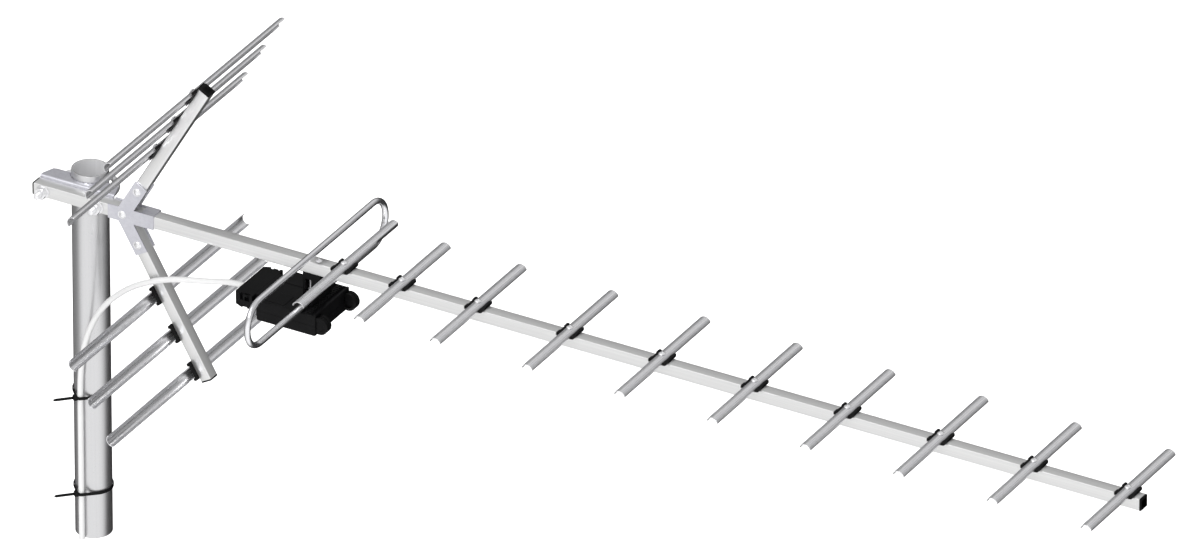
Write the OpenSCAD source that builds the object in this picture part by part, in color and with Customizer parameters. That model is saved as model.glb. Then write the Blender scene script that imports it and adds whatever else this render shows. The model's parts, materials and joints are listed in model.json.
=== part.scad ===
// UHF yagi antenna on a mast stub, with a folding X reflector, a folded dipole,
// a terminal box with a hinged cover and a coaxial down-lead.
// Origin: centre of the mast's foot. +X along the boom, +Z up the mast.

/* [Mast] */
// Outside diameter of the mast
mast_d = 42.4; // [35:0.1:50]
// Wall of the mast
mast_wall = 2; // [1.5:0.1:3]
// Length of the mast stub
mast_len = 465; // [400:5:700]
// Mast above the top of the boom
mast_above = 11; // [4:1:40]

/* [Boom] */
// Side of the square boom
boom_side = 15; // [14:0.5:20]
// Wall of the boom
boom_wall = 1.2; // [0.8:0.1:1.6]
// Boom behind the mast axis
boom_behind = 47; // [47:1:80]
// Boom ahead of the last director
boom_ahead = 18; // [12:1:60]
// Thickness of the plastic end caps
cap_t = 2; // [1:0.5:4]

/* [Mast clamp] */
// Sheet of the saddle
saddle_t = 2; // [1.5:0.1:3]
// Gap between the mast and the saddle's web
saddle_standoff = 5.8; // [4:0.1:10]
// Height of the saddle
saddle_h = 22; // [18:1:30]
// Half length of the saddle along the boom
saddle_half = 47.5; // [45:0.5:48]
// Depth of the saddle's flanges past the web
saddle_depth = 19; // [14:1:20]
// Rod of the U-bolt
u_rod_d = 7; // [6:0.5:8]
// Distance from the mast axis to each leg of the U-bolt
u_leg_x = 35; // [32:0.5:37]
// Thread that stands out past the nuts
u_thread_out = 8; // [3:1:20]
// Nut across its flats
nut_flats = 13; // [10:0.5:14]
// Height of the nut
nut_h = 6.5; // [4:0.5:8]
// Outside diameter of the washer
washer_d = 16; // [14:0.5:18]
// Thickness of the washer
washer_t = 1.6; // [1:0.1:2.5]

/* [Reflector bracket] */
// Sheet of the bracket
bracket_t = 1.5; // [1:0.1:2.5]
// Boom rivet ahead of the mast axis
rivet_x = 68; // [68:1:90]
// Distance from the boom rivet to each arm's pivot
pivot_r = 38.9; // [36:0.1:44]
// Width of the bracket's four arms
bracket_w = 17; // [15:0.5:20]
// Bracket behind the boom rivet
bracket_rear = 18.5; // [12:0.5:18.5]
// Bracket ahead of the boom rivet
bracket_front = 40; // [36:0.5:50]
// Bracket past each pivot
bracket_past = 10.5; // [8:0.5:14]
// Start of the fold over the boom, ahead of the rivet
fold_start = 24; // [22:0.5:30]
// Rivet shank
rivet_d = 5; // [4:0.5:6]
// Rivet head
rivet_head_d = 10; // [8:0.5:11]
// Height of the rivet head
rivet_head_h = 2.2; // [1.5:0.1:3]

/* [Reflector arms] */
// Angle of each arm from the boom
arm_angle = 60; // [50:1:70]
// Arm beyond its pivot
arm_len = 172; // [165:1:240]
// Arm behind its pivot
arm_tail = 21.5; // [12:0.5:21.5]
// Length of a reflector element
reflector_len = 378; // [300:1:420]
// First reflector from the pivot
reflector_first = 61.5; // [50:0.5:80]
// Pitch of the reflectors
reflector_pitch = 47.8; // [40:0.1:48]

/* [Elements] */
// Width of an element channel
channel_w = 14; // [12:0.5:14]
// Height of an element channel
channel_h = 6; // [4:0.1:6.5]
// Sheet of an element channel
channel_t = 1; // [0.6:0.1:1.2]
// Dipole ahead of the mast axis
dipole_x = 313; // [300:1:340]
// Starter director ahead of the dipole
starter_gap = 35.7; // [34:0.1:45]
// First director ahead of the starter director
first_gap = 74; // [60:1:90]
// Second director ahead of the first
second_gap = 96.8; // [80:0.1:110]
// Pitch of the other directors
director_pitch = 116.8; // [90:0.1:130]
// Number of directors after the starter
directors = 9; // [3:1:9]
// Length of a director
director_len = 190; // [150:1:220]
// Starter director on the near side of the boom
starter_near = 101; // [80:1:120]
// Starter director on the far side of the boom
starter_far = 110; // [80:1:120]
// Trimmed stretch of the starter director's front edge
starter_tip = 45; // [20:1:60]
// Depth of that trim
starter_trim = 2.2; // [1:0.1:4]

/* [Element clips] */
// Clip along the boom
clip_w = 22; // [20:0.5:24]
// Clip across the boom
clip_l = 26; // [20:1:30]
// Clip under the element
clip_pad = 0.6; // [0.5:0.1:2]
// Height of the clip's two lips
clip_lip = 3.4; // [2:0.1:4]
// Shank of the element screws
screw_d = 4; // [3:0.5:4]
// Head of the element screws
screw_head_d = 8; // [6:0.5:9]
// Height of the screw head
screw_head_h = 2; // [1.5:0.1:3]

/* [Dipole] */
// Rod of the folded dipole
rod_d = 7.5; // [5:0.5:8]
// Distance between the dipole's two runs
dipole_spread = 55; // [52:1:60]
// Straight length of the dipole
dipole_straight = 247; // [220:1:280]
// Gap between the upper run and the boom
dipole_above = 7.5; // [7.5:0.5:10]
// Half gap between the dipole's two ends
dipole_gap = 14; // [13:0.5:15]

/* [Terminal box] */
// Length of the covered part of the box
box_len = 76; // [72:1:84]
// Width of the box
box_w = 77; // [74:1:90]
// Height of the box
box_h = 25.4; // [24:0.2:32]
// Covered part of the box ahead of the dipole
box_front = 20; // [18:0.5:22]
// Wall of the box
box_wall = 2; // [1.6:0.1:2.4]
// Length of the waist that takes the cover's tongues
waist_len = 7; // [6:0.5:9]
// Width of the waist
waist_w = 52; // [48:1:56]
// Length of the cable entry block
entry_len = 23.5; // [16:0.5:26]
// Width of the cable entry block
entry_w = 69; // [56:1:72]
// Height of the cable entry block
entry_h = 17; // [16.5:0.5:20]
// Corner cut off the entry block, along the boom
entry_cut = 9; // [4:0.5:10]
// Corner cut off the entry block, across the boom
entry_cut_w = 4; // [2:0.5:4]
// Radius of the hinge barrels
barrel_r = 10.5; // [8:0.5:11]
// Hinge pin diameter
hinge_pin_d = 4; // [3:0.5:5]

/* [Down-lead] */
// Outside diameter of the coaxial lead
lead_d = 6.8; // [5:0.1:7]
// Width of the cable ties
tie_w = 3.6; // [2.5:0.1:5]
// Thickness of the cable ties
tie_t = 1.3; // [1:0.1:1.5]
// Heights of the two cable ties
tie_z = [59, 183];
// Head of each tie
tie_head = 6; // [4:0.5:8]
// Loose tail of each tie
tie_tail = 27; // [10:1:60]

/* [Hidden] */

// Clearances: loose between moving pieces, snug round shanks, running at pivots.
loose = 0.3;
snug = 0.1;
running = 0.05;
cut = 0.5;
round_fn = 96;
small_fn = 48;

mast_r = mast_d / 2;
boom_y = -(mast_r + saddle_standoff + saddle_t + boom_side / 2);
boom_top = mast_len - mast_above;
boom_z = boom_top - boom_side / 2;
boom_half = boom_side / 2;
near_face = boom_y - boom_half;
starter_x = dipole_x + starter_gap;
director_x = [for (k = [0 : directors - 1])
  starter_x + first_gap + (k == 0 ? 0 : second_gap + (k - 1) * director_pitch)];
last_x = director_x[directors - 1];
element_z = clip_pad;
element_top = clip_pad + channel_h;
channel_r = (channel_w * channel_w / 4 + channel_h * channel_h) / (2 * channel_h);

arm_side = boom_side - 2 * loose;
pivot_x = rivet_x + pivot_r * cos(arm_angle);
pivot_dz = pivot_r * sin(arm_angle);
arm_top = arm_side / 2;

u_inside = u_leg_x - u_rod_d / 2;
u_centre_y = mast_r + loose - u_inside;
nut_y = near_face - washer_t - nut_h;
u_end_y = nut_y - u_thread_out;

upper_run_z = boom_top + dipole_above + rod_d / 2;
lower_run_z = upper_run_z - dipole_spread;
box_top = lower_run_z - rod_d / 2 - loose;
box_rear = box_front - box_len;
waist_rear = box_rear - waist_len;
entry_rear = waist_rear - entry_len;
parting_z = -box_h / 2;
seam = 0.3;
hinge_x = box_front + 4;
hinge_z = -box_h / 2;
post_top = boom_top - boom_side - box_top;
terminal_y = 17;
terminal_block_h = 8.5;
lead_drop = entry_h - box_wall - lead_d / 2 - 0.4;
lead_z = box_top - lead_drop;
ceiling = box_wall + 0.2;
board_z = -ceiling - 4.4;
board_t = 1.6;
post_screw_x = [3, -7];

lead_r = lead_d / 2;
entry_x = dipole_x + entry_rear;
lead_at_mast = -(mast_r + loose + lead_r);
lead_inside = 20;
// The lead's route: out of the box, past the lower arm and down the mast.
lead_points = [[entry_x + lead_inside, boom_y, lead_z],
  [entry_x + lead_inside / 2, boom_y, lead_z],
  [entry_x, boom_y, lead_z], [212, -37, 395], [196, -39, 394], [176, -43, 391],
  [152, -47, 388], [128, -50, 383], [104, -51, 373], [82, -50, 360], [60, -46, 341],
  [42, -41.5, 321], [26, -36, 297], [13, -31, 270], [4.5, -27, 243],
  [0, lead_at_mast, 215], [-1, lead_at_mast, 190], [-1, lead_at_mast, 165],
  [-1, lead_at_mast, 140], [-1, lead_at_mast, 112], [-1, lead_at_mast, 84],
  [-1, lead_at_mast, 56], [-1, lead_at_mast, 28], [-1, lead_at_mast, 0]];
lead_x_at_mast = -1;

steel = [0.72, 0.72, 0.76];
zinc = [0.84, 0.84, 0.87];
alloy = [0.9, 0.9, 0.91];
sheet = [0.76, 0.76, 0.78];
plastic = [0.12, 0.12, 0.13];
bright = [0.93, 0.93, 0.94];
green = [0.1, 0.35, 0.2];
white = [0.96, 0.96, 0.96];

// ---- Shared shapes ----

// A cylinder that lies along Y, from y0 to y1.
module rod_y(r, y0, y1, fn = small_fn) {
  translate([0, y0, 0]) rotate([-90, 0, 0]) cylinder(r = r, h = y1 - y0, $fn = fn);
}

// A cylinder that lies along X, from x0 to x1.
module rod_x(r, x0, x1, fn = small_fn) {
  translate([x0, 0, 0]) rotate([0, 90, 0]) cylinder(r = r, h = x1 - x0, $fn = fn);
}

// A cylinder that stands along Z, from z0 to z1.
module rod_z(r, z0, z1, fn = small_fn) {
  translate([0, 0, z0]) cylinder(r = r, h = z1 - z0, $fn = fn);
}

// A block given by its low and high corners.
module block(low, high) {
  translate(low) cube(high - low);
}

// A rectangle with round corners.
module round_rect(w, l, r) {
  square([w - 2 * r, l], center = true);
  square([w, l - 2 * r], center = true);
  for (x = [-1, 1], y = [-1, 1])
    translate([x * (w / 2 - r), y * (l / 2 - r)]) circle(r, $fn = small_fn);
}

// The cross section of an element: a shallow half-round channel, open below.
module channel_section(w, h, t) {
  r = (w * w / 4 + h * h) / (2 * h);
  difference() {
    intersection() {
      translate([0, h - r]) circle(r, $fn = round_fn);
      translate([-w / 2, 0]) square([w, h]);
    }
    translate([0, h - r]) circle(r - t, $fn = round_fn);
  }
}

// A straight element along Y between y0 and y1, with its screw hole.
module element(y0, y1) {
  difference() {
    translate([0, y1, element_z]) rotate([90, 0, 0])
      linear_extrude(y1 - y0) channel_section(channel_w, channel_h, channel_t);
    rod_z(screw_d / 2 + snug, 0, element_top + 1);
  }
}

// The plastic cradle between an element and the tube that carries it.
module element_clip() {
  lip_w = (clip_w - channel_w) / 2 - loose;
  lip_x = channel_w / 2 + loose + lip_w / 2;
  boss_r = channel_w / 4;
  boss_h = element_top - channel_r + sqrt(pow(channel_r - channel_t, 2)
    - boss_r * boss_r) - snug;
  difference() {
    union() {
      linear_extrude(clip_pad) round_rect(clip_w, clip_l, 3);
      for (s = [-1, 1]) translate([s * lip_x, 0, 0])
        linear_extrude(clip_lip) round_rect(lip_w, clip_l, lip_w / 2 - 0.01);
      rod_z(boss_r, 0, boss_h);
    }
    rod_z(screw_d / 2 + snug, -1, clip_lip + 2);
  }
}

// A pan-head screw that points down, with its seat at the origin.
module pan_screw(d, head_d, head_h, length) {
  dome_r = (head_d * head_d / 4 + head_h * head_h) / (2 * head_h);
  slot = head_d * 0.12;
  difference() {
    union() {
      rod_z(d / 2, -length, 0);
      intersection() {
        translate([0, 0, head_h - dome_r]) sphere(dome_r, $fn = small_fn);
        rod_z(head_d / 2, 0, head_h);
      }
    }
    for (a = [0, 90]) rotate([0, 0, a + 30])
      block([-head_d * 0.27, -slot / 2, head_h - 1], [head_d * 0.27, slot / 2, head_h + 1]);
  }
}

// The screw of one element, through its clip into the tube below.
module element_screw() {
  translate([0, 0, element_top])
    pan_screw(screw_d, screw_head_d, screw_head_h, element_top + boom_wall + 4);
}

// A rivet along Y through a stack of the given width.
module rivet(width) {
  dome_r = (rivet_head_d * rivet_head_d / 4 + rivet_head_h * rivet_head_h)
    / (2 * rivet_head_h);
  tip = width / 2 + rivet_head_h;
  rotate([90, 0, 0]) rotate_extrude($fn = small_fn) {
    translate([0, -width / 2]) square([rivet_d / 2, width]);
    for (s = [-1, 1]) intersection() {
      translate([0, s * (tip - dome_r)]) circle(dome_r, $fn = round_fn);
      translate([0, min(s * width / 2, s * tip)])
        square([rivet_head_d / 2, rivet_head_h]);
    }
  }
}

// A square tube along X from x0 to x1.
module square_tube(side, wall, x0, x1) {
  difference() {
    block([x0, -side / 2, -side / 2], [x1, side / 2, side / 2]);
    block([x0 - cut, wall - side / 2, wall - side / 2],
      [x1 + cut, side / 2 - wall, side / 2 - wall]);
  }
}

// A plastic cap on the end of a square tube: a plate and a plug along -X.
module tube_cap(side, wall) {
  plug = side / 2 - wall - snug;
  block([0, -side / 2, -side / 2], [cap_t, side / 2, side / 2]);
  difference() {
    block([-8, -plug, -plug], [0.01, plug, plug]);
    block([-9, 1.2 - plug, 1.2 - plug], [-cap_t, plug - 1.2, plug - 1.2]);
  }
}

// ---- Frames that the pieces are placed in ----

module on_boom(x) {
  translate([x, boom_y, boom_top]) children();
}

// Along the arm from its pivot: +X to the tip, +Z to the rear face.
module upper_arm_frame() {
  translate([pivot_x, boom_y, boom_z + pivot_dz]) rotate([0, -arm_angle, 0]) children();
}

module lower_arm_frame() {
  translate([pivot_x, boom_y, boom_z - pivot_dz]) mirror([0, 0, 1])
    rotate([0, -arm_angle, 0]) children();
}

module on_arm(k) {
  translate([reflector_first + (k - 1) * reflector_pitch, 0, arm_top]) children();
}

// Below the dipole: origin on the top face of the box.
module box_frame() {
  translate([dipole_x, boom_y, box_top]) children();
}

// ---- Mast and its clamp ----

module mast() {
  color(steel) difference() {
    rod_z(mast_r, 0, mast_len, round_fn);
    rod_z(mast_r - mast_wall, -cut, mast_len + cut, round_fn);
  }
}

// The flange's outline seen from above, with a serrated seat for the mast.
module saddle_outline() {
  front = boom_y + boom_half;
  outer = front + saddle_t + saddle_depth;
  teeth = 30;
  difference() {
    polygon([[-saddle_half, front], [saddle_half, front], [saddle_half, front + 4],
      [saddle_half - 5.5, outer - 1.5], [saddle_half - 10, outer],
      [10 - saddle_half, outer], [5.5 - saddle_half, outer - 1.5],
      [-saddle_half, front + 4]]);
    polygon([for (k = [0 : 2 * teeth - 1])
      let (a = k * 180 / teeth, r = mast_r + loose + (k % 2) * 1.5)
      [r * cos(a), r * sin(a)]]);
  }
}

// The channel's cross section, in Y and Z, with round outer bends.
module saddle_channel() {
  bend = 3;
  depth = saddle_depth + saddle_t;
  difference() {
    union() {
      translate([bend, -saddle_h / 2]) square([depth - bend, saddle_h]);
      translate([0, bend - saddle_h / 2]) square([depth, saddle_h - 2 * bend]);
      for (s = [-1, 1]) translate([bend, s * (saddle_h / 2 - bend)])
        circle(bend, $fn = small_fn);
    }
    translate([bend, saddle_t - saddle_h / 2])
      square([depth, saddle_h - 2 * saddle_t]);
    translate([saddle_t, bend - saddle_h / 2]) square([depth, saddle_h - 2 * bend]);
    for (s = [-1, 1]) translate([bend, s * (saddle_h / 2 - bend)])
      circle(bend - saddle_t, $fn = small_fn);
  }
}

module mast_saddle() {
  color(zinc) difference() {
    intersection() {
      translate([-saddle_half, boom_y + boom_half, boom_z]) rotate([90, 0, 90])
        linear_extrude(2 * saddle_half) saddle_channel();
      translate([0, 0, boom_z - saddle_h]) linear_extrude(2 * saddle_h) saddle_outline();
    }
    for (s = [-1, 1]) translate([s * u_leg_x, 0, boom_z])
      rod_y(u_rod_d / 2 + loose, boom_y, boom_y + boom_half + saddle_t + 1);
  }
}

module u_bolt() {
  color(bright) {
    translate([0, u_centre_y, boom_z]) rotate_extrude(angle = 180, $fn = round_fn)
      translate([u_leg_x, 0]) circle(u_rod_d / 2, $fn = small_fn);
    for (s = [-1, 1]) translate([s * u_leg_x, 0, boom_z])
      rod_y(u_rod_d / 2, u_end_y, u_centre_y);
  }
}

module u_bolt_washers() {
  color(bright) for (s = [-1, 1]) translate([s * u_leg_x, 0, boom_z]) difference() {
    rod_y(washer_d / 2, near_face - washer_t, near_face);
    rod_y(u_rod_d / 2 + loose, near_face - washer_t - cut, near_face + cut);
  }
}

module u_bolt_nuts() {
  color(bright) for (s = [-1, 1]) translate([s * u_leg_x, 0, boom_z]) difference() {
    rod_y(nut_flats / sqrt(3), nut_y, nut_y + nut_h, 6);
    rod_y(u_rod_d / 2 + snug, nut_y - cut, nut_y + nut_h + cut);
  }
}

// ---- Boom ----

module boom() {
  color(alloy) difference() {
    translate([0, boom_y, boom_z])
      square_tube(boom_side, boom_wall, -boom_behind, last_x + boom_ahead);
    for (s = [-1, 1]) translate([s * u_leg_x, boom_y, boom_z])
      rod_y(u_rod_d / 2 + loose, -boom_side, boom_side);
    translate([rivet_x, boom_y, boom_z])
      rod_y(rivet_d / 2 + running, -boom_side, boom_side);
    for (x = concat([starter_x], director_x)) on_boom(x)
      rod_z(screw_d / 2 + running, -boom_wall - 1, 1);
    on_boom(dipole_x + post_screw_x[0]) rod_z(screw_d / 2 + running, -boom_side - 1, 1);
    on_boom(dipole_x + post_screw_x[1])
      rod_z(screw_d / 2 + running, -boom_side - 1, boom_wall + 1 - boom_side);
  }
}

module boom_rear_cap() {
  color(plastic) translate([-boom_behind, boom_y, boom_z]) mirror([1, 0, 0])
    tube_cap(boom_side, boom_wall);
}

module boom_front_cap() {
  color(plastic) translate([last_x + boom_ahead, boom_y, boom_z])
    tube_cap(boom_side, boom_wall);
}

// ---- Reflector bracket ----

// One cheek, in X and Z from the boom rivet.
module cheek_outline() {
  low = -boom_half - 1;
  difference() {
    union() {
      translate([-bracket_rear, low])
        square([bracket_rear + bracket_front, boom_side + 1 + bracket_t]);
      for (s = [-1, 1]) rotate(s * arm_angle) translate([0, -bracket_w / 2])
        square([pivot_r + bracket_past, bracket_w]);
    }
    circle(rivet_d / 2 + running, $fn = small_fn);
    for (s = [-1, 1]) rotate(s * arm_angle) translate([pivot_r, 0])
      circle(rivet_d / 2 + running, $fn = small_fn);
  }
}

module reflector_bracket() {
  color(zinc) translate([rivet_x, boom_y, boom_z]) {
    for (y = [-boom_half - bracket_t, boom_half]) translate([0, y + bracket_t, 0])
      rotate([90, 0, 0]) linear_extrude(bracket_t) cheek_outline();
    block([fold_start, -boom_half - bracket_t, boom_half],
      [bracket_front, boom_half + bracket_t, boom_half + bracket_t]);
  }
}

module boom_rivet() {
  color(bright) translate([rivet_x, boom_y, boom_z]) rivet(boom_side + 2 * bracket_t);
}

module pivot_rivets() {
  color(bright) for (s = [-1, 1]) translate([pivot_x, boom_y, boom_z + s * pivot_dz])
    rivet(boom_side + 2 * bracket_t);
}

// ---- Reflector arms, each drawn once in its own frame ----

module arm_tube() {
  difference() {
    square_tube(arm_side, boom_wall, -arm_tail, arm_len);
    rod_y(rivet_d / 2 + running, -arm_side, arm_side);
    for (k = [1 : 3]) on_arm(k) rod_z(screw_d / 2 + running, -boom_wall - 1, 1);
  }
}

module arm_cap() {
  translate([arm_len, 0, 0]) tube_cap(arm_side, boom_wall);
}

module reflector(k) {
  on_arm(k) element(-reflector_len / 2, reflector_len / 2);
}

module arm_clips() {
  for (k = [1 : 3]) on_arm(k) element_clip();
}

module arm_screws() {
  for (k = [1 : 3]) on_arm(k) element_screw();
}

module upper_arm() { color(alloy) upper_arm_frame() arm_tube(); }
module upper_arm_cap() { color(plastic) upper_arm_frame() arm_cap(); }
module upper_reflector(k) { color(sheet) upper_arm_frame() reflector(k); }
module upper_clips() { color(plastic) upper_arm_frame() arm_clips(); }
module upper_screws() { color(bright) upper_arm_frame() arm_screws(); }
module lower_arm() { color(alloy) lower_arm_frame() arm_tube(); }
module lower_arm_cap() { color(plastic) lower_arm_frame() arm_cap(); }
module lower_reflector(k) { color(sheet) lower_arm_frame() reflector(k); }
module lower_clips() { color(plastic) lower_arm_frame() arm_clips(); }
module lower_screws() { color(bright) lower_arm_frame() arm_screws(); }

// ---- Folded dipole ----

module folded_dipole() {
  bend = dipole_spread / 2;
  mid_z = (upper_run_z + lower_run_z) / 2;
  half = dipole_straight / 2;
  color(sheet) translate([dipole_x, boom_y, mid_z]) difference() {
    union() {
      translate([0, 0, bend]) rod_y(rod_d / 2, -half, half);
      for (s = [-1, 1]) {
        translate([0, s * half, 0]) rotate([0, 90, 0]) rotate([0, 0, s * 90 - 90])
          rotate_extrude(angle = 180, $fn = round_fn)
            translate([bend, 0]) circle(rod_d / 2, $fn = small_fn);
        translate([0, 0, -bend])
          rod_y(rod_d / 2, min(s * dipole_gap, s * half), max(s * dipole_gap, s * half));
      }
    }
    for (s = [-1, 1]) translate([0, s * terminal_y, -bend])
      rod_z(1.5 + snug, -rod_d, rod_d);
  }
}

// ---- Terminal box, drawn in its own frame ----

// The barrels of one half of the hinge, between two distances from the middle.
module barrels(r, y0, y1) {
  for (s = [-1, 1]) translate([hinge_x, 0, hinge_z])
    rod_y(r, min(s * y0, s * y1), max(s * y0, s * y1), round_fn);
}

barrel_out = box_w / 2 - box_wall - 0.5;
barrel_mid = barrel_out - 5;
barrel_in = barrel_mid - 5;
pin_end = barrel_out - 1;

module housing_solid() {
  block([box_rear, -box_w / 2, parting_z], [box_front, box_w / 2, 0]);
  block([waist_rear, -waist_w / 2, -entry_h], [box_rear, waist_w / 2, 0]);
  translate([0, 0, -entry_h]) linear_extrude(entry_h) polygon([
    [waist_rear, -entry_w / 2], [waist_rear, entry_w / 2],
    [entry_rear + entry_cut, entry_w / 2], [entry_rear, entry_w / 2 - entry_cut_w],
    [entry_rear, entry_cut_w - entry_w / 2], [entry_rear + entry_cut, -entry_w / 2]]);
  barrels(barrel_r, barrel_mid, barrel_out);
  block([-14, -boom_half, -1], [8, boom_half, post_top]);
  block([-7, -terminal_y - 5, -1], [7, terminal_y + 5, terminal_block_h]);
  for (y = [-34 : 4 : 34]) block([7.5, y - 0.8, -1], [13, y + 0.8, 0.9]);
  for (s = [-1, 1]) translate([box_rear + 6, s * 7, 0])
    rod_z(2.8, -lead_drop - lead_r - 0.1, -1);
}

module housing_hollows() {
  block([box_rear + box_wall, box_wall - box_w / 2, parting_z - 1],
    [box_front - box_wall, box_w / 2 - box_wall, -ceiling]);
  block([entry_rear + box_wall, -waist_w / 2 + box_wall, box_wall - entry_h],
    [box_rear + box_wall + 1, waist_w / 2 - box_wall, -ceiling]);
  translate([0, 0, -lead_drop]) rod_x(lead_r + 1.3, entry_rear - 1, entry_rear + 3);
  block([14, 3 - box_w / 2, -1.2], [17, box_w / 2 - 3, 1]);
  block([-11, -boom_half - 1, 9], [-3, 4, 25]);
  barrels(barrel_r + 0.5, barrel_in - 0.3, barrel_mid);
}

module box_housing() {
  color(plastic) box_frame() difference() {
    union() {
      difference() {
        housing_solid();
        housing_hollows();
      }
      for (s = [-1, 1]) translate([box_rear + 6, s * 7, 0])
        rod_z(2.8, -lead_drop - lead_r - 0.1, -1);
      for (s = [-1, 1]) translate([0, s * terminal_y, 0])
        rod_z(3.4, board_z + board_t, -1);
    }
    barrels(hinge_pin_d / 2 + running / 2, barrel_mid - 1, pin_end + running);
    translate([0, 0, lower_run_z - box_top]) for (s = [-1, 1])
      rod_y(rod_d / 2 + snug, min(s * 12, s * 24), max(s * 12, s * 24));
    for (s = [-1, 1]) translate([0, s * terminal_y, 0]) rod_z(1.5 + snug, -9, 9);
    for (s = [-1, 1]) translate([box_rear + 6, s * 7, 0])
      rod_z(1.5 + running, -lead_drop - lead_r - 1, -ceiling - 1);
    for (x = post_screw_x) translate([x, 0, 0])
      rod_z(screw_d / 2 + running, 9, post_top + 1);
  }
}

module box_cover() {
  low = -box_h;
  top = parting_z - seam;
  rear = box_rear + seam;
  color(plastic) box_frame() difference() {
    union() {
      difference() {
        block([rear, -box_w / 2, low], [box_front, box_w / 2, top]);
        block([rear + box_wall, box_wall - box_w / 2, low + box_wall],
          [box_front - box_wall, box_w / 2 - box_wall, 0]);
        barrels(barrel_r + 0.5, barrel_mid - 0.3, barrel_out + 0.3);
        block([rear - 1, -lead_r - 1, -lead_drop - lead_r - 1],
          [rear + box_wall + 1, lead_r + 1, 0]);
      }
      difference() {
        barrels(barrel_r, barrel_in, barrel_mid - 0.3);
        block([0, -50, hinge_z - 30], [box_front - box_wall - 0.3, 50, hinge_z + 30]);
      }
      for (s = [-1, 1]) {
        a = s * (waist_w / 2 + 0.5);
        b = s * (waist_w / 2 + 4);
        block([waist_rear + 2.5, min(a, b), low], [waist_rear + 5, max(a, b), -3]);
        block([waist_rear + 2.5, min(a, b), low], [rear + 1, max(a, b), low + 3]);
      }
    }
    barrels(hinge_pin_d / 2 + running, barrel_in - 1, barrel_mid);
  }
}

module hinge_pins() {
  color(bright) box_frame() barrels(hinge_pin_d / 2, barrel_in, pin_end);
}

// One screw down through the boom, one up from the post into the boom.
module box_screws() {
  color(bright) {
    on_boom(dipole_x + post_screw_x[0])
      pan_screw(screw_d, screw_head_d, screw_head_h, boom_side + 12);
    box_frame() translate([post_screw_x[1], 0, 10]) mirror([0, 0, 1])
      pan_screw(screw_d, 7, 1, post_top - 10 + boom_wall + 3);
  }
}

module terminal_screws() {
  color(bright) box_frame() for (s = [-1, 1])
    translate([0, s * terminal_y, terminal_block_h]) pan_screw(3, 6, 1.8, 18.5);
}

module terminal_nuts() {
  color(bright) box_frame() for (s = [-1, 1]) translate([0, s * terminal_y, 0])
    difference() {
      rod_z(3.1, board_z - 2.4, board_z, 6);
      rod_z(1.5 + running, board_z - 3, board_z + 1);
    }
}

module balun_board() {
  color(green) box_frame() difference() {
    block([-36, -22, board_z], [7, 22, board_z + board_t]);
    for (s = [-1, 1]) translate([0, s * terminal_y, 0])
      rod_z(1.5 + snug, board_z - 1, board_z + 3);
  }
}

module balun_core() {
  color([0.25, 0.25, 0.27]) box_frame() translate([-18, 0, 0]) difference() {
    rod_z(6, board_z - 5, board_z);
    rod_z(2.6, board_z - 6, board_z + 1);
  }
}

module cable_gland() {
  color(plastic) box_frame() translate([0, 0, -lead_drop]) difference() {
    union() {
      rod_x(lead_r + 1.2, entry_rear - 1, entry_rear + 3);
      rod_x(lead_r + 2, entry_rear - 2.5, entry_rear);
    }
    rod_x(lead_r + snug, entry_rear - 4, entry_rear + 4);
  }
}

// The end of the lead inside the box: jacket, insulation and core.
module coax_tail() {
  start = entry_rear + lead_inside;
  stripped = box_rear + 12;
  color(white) box_frame() translate([0, 0, -lead_drop]) {
    rod_x(lead_r, start, stripped);
    rod_x(2.3, stripped, stripped + 6);
    rod_x(0.55, stripped + 6, stripped + 18);
  }
}

module cable_clamp() {
  z = -lead_drop - lead_r - 0.1;
  color(zinc) box_frame() difference() {
    block([box_rear + 3, -10.5, z - 1.2], [box_rear + 9, 10.5, z]);
    for (s = [-1, 1]) translate([box_rear + 6, s * 7, 0])
      rod_z(1.5 + snug, z - 2, z + 1);
  }
}

module clamp_screws() {
  color(bright) box_frame() for (s = [-1, 1])
    translate([box_rear + 6, s * 7, -lead_drop - lead_r - 1.3]) mirror([0, 0, 1])
      pan_screw(3, 5.6, 1.7, 8);
}

// ---- Directors ----

// The starter director is longer on its far side, with a trimmed front edge there.
module starter_director() {
  color(sheet) on_boom(starter_x) difference() {
    element(-starter_near, starter_far);
    block([channel_w / 2 - starter_trim, starter_far - starter_tip, -1],
      [channel_w / 2 + 1, starter_far + 1, element_top + 1]);
  }
}

module director(k) {
  color(sheet) if (k <= directors) on_boom(director_x[k - 1])
    element(-director_len / 2, director_len / 2);
}

module director_clips() {
  color(plastic) for (x = concat([starter_x], director_x)) on_boom(x) element_clip();
}

module director_screws() {
  color(bright) for (x = concat([starter_x], director_x)) on_boom(x) element_screw();
}

// ---- Down-lead and its ties ----

function unit(v) = v / norm(v);

// A point of the smooth curve through p at step k, part t of the way to the next.
function spline(p, k, t) =
  let (a = p[max(k - 1, 0)], b = p[k], c = p[k + 1], d = p[min(k + 2, len(p) - 1)])
  0.5 * (2 * b + (c - a) * t + (2 * a - 5 * b + 4 * c - d) * t * t
    + (3 * b - a - 3 * c + d) * t * t * t);

// A round tube swept along a path that never runs along Y.
module swept_tube(path, r, sides) {
  n = len(path);
  rings = [for (k = [0 : n - 1])
    let (t = unit(path[min(k + 1, n - 1)] - path[max(k - 1, 0)]),
      u = unit(cross(t, [0, 1, 0])), v = cross(u, t))
    for (s = [0 : sides - 1]) let (a = s * 360 / sides)
      path[k] + r * cos(a) * u + r * sin(a) * v];
  polyhedron(rings, concat([[for (s = [0 : sides - 1]) s]],
    [[for (s = [0 : sides - 1]) n * sides - 1 - s]],
    [for (k = [0 : n - 2], s = [0 : sides - 1])
      let (a = k * sides + s, b = k * sides + (s + 1) % sides)
      [a, a + sides, b + sides, b]]));
}

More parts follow.
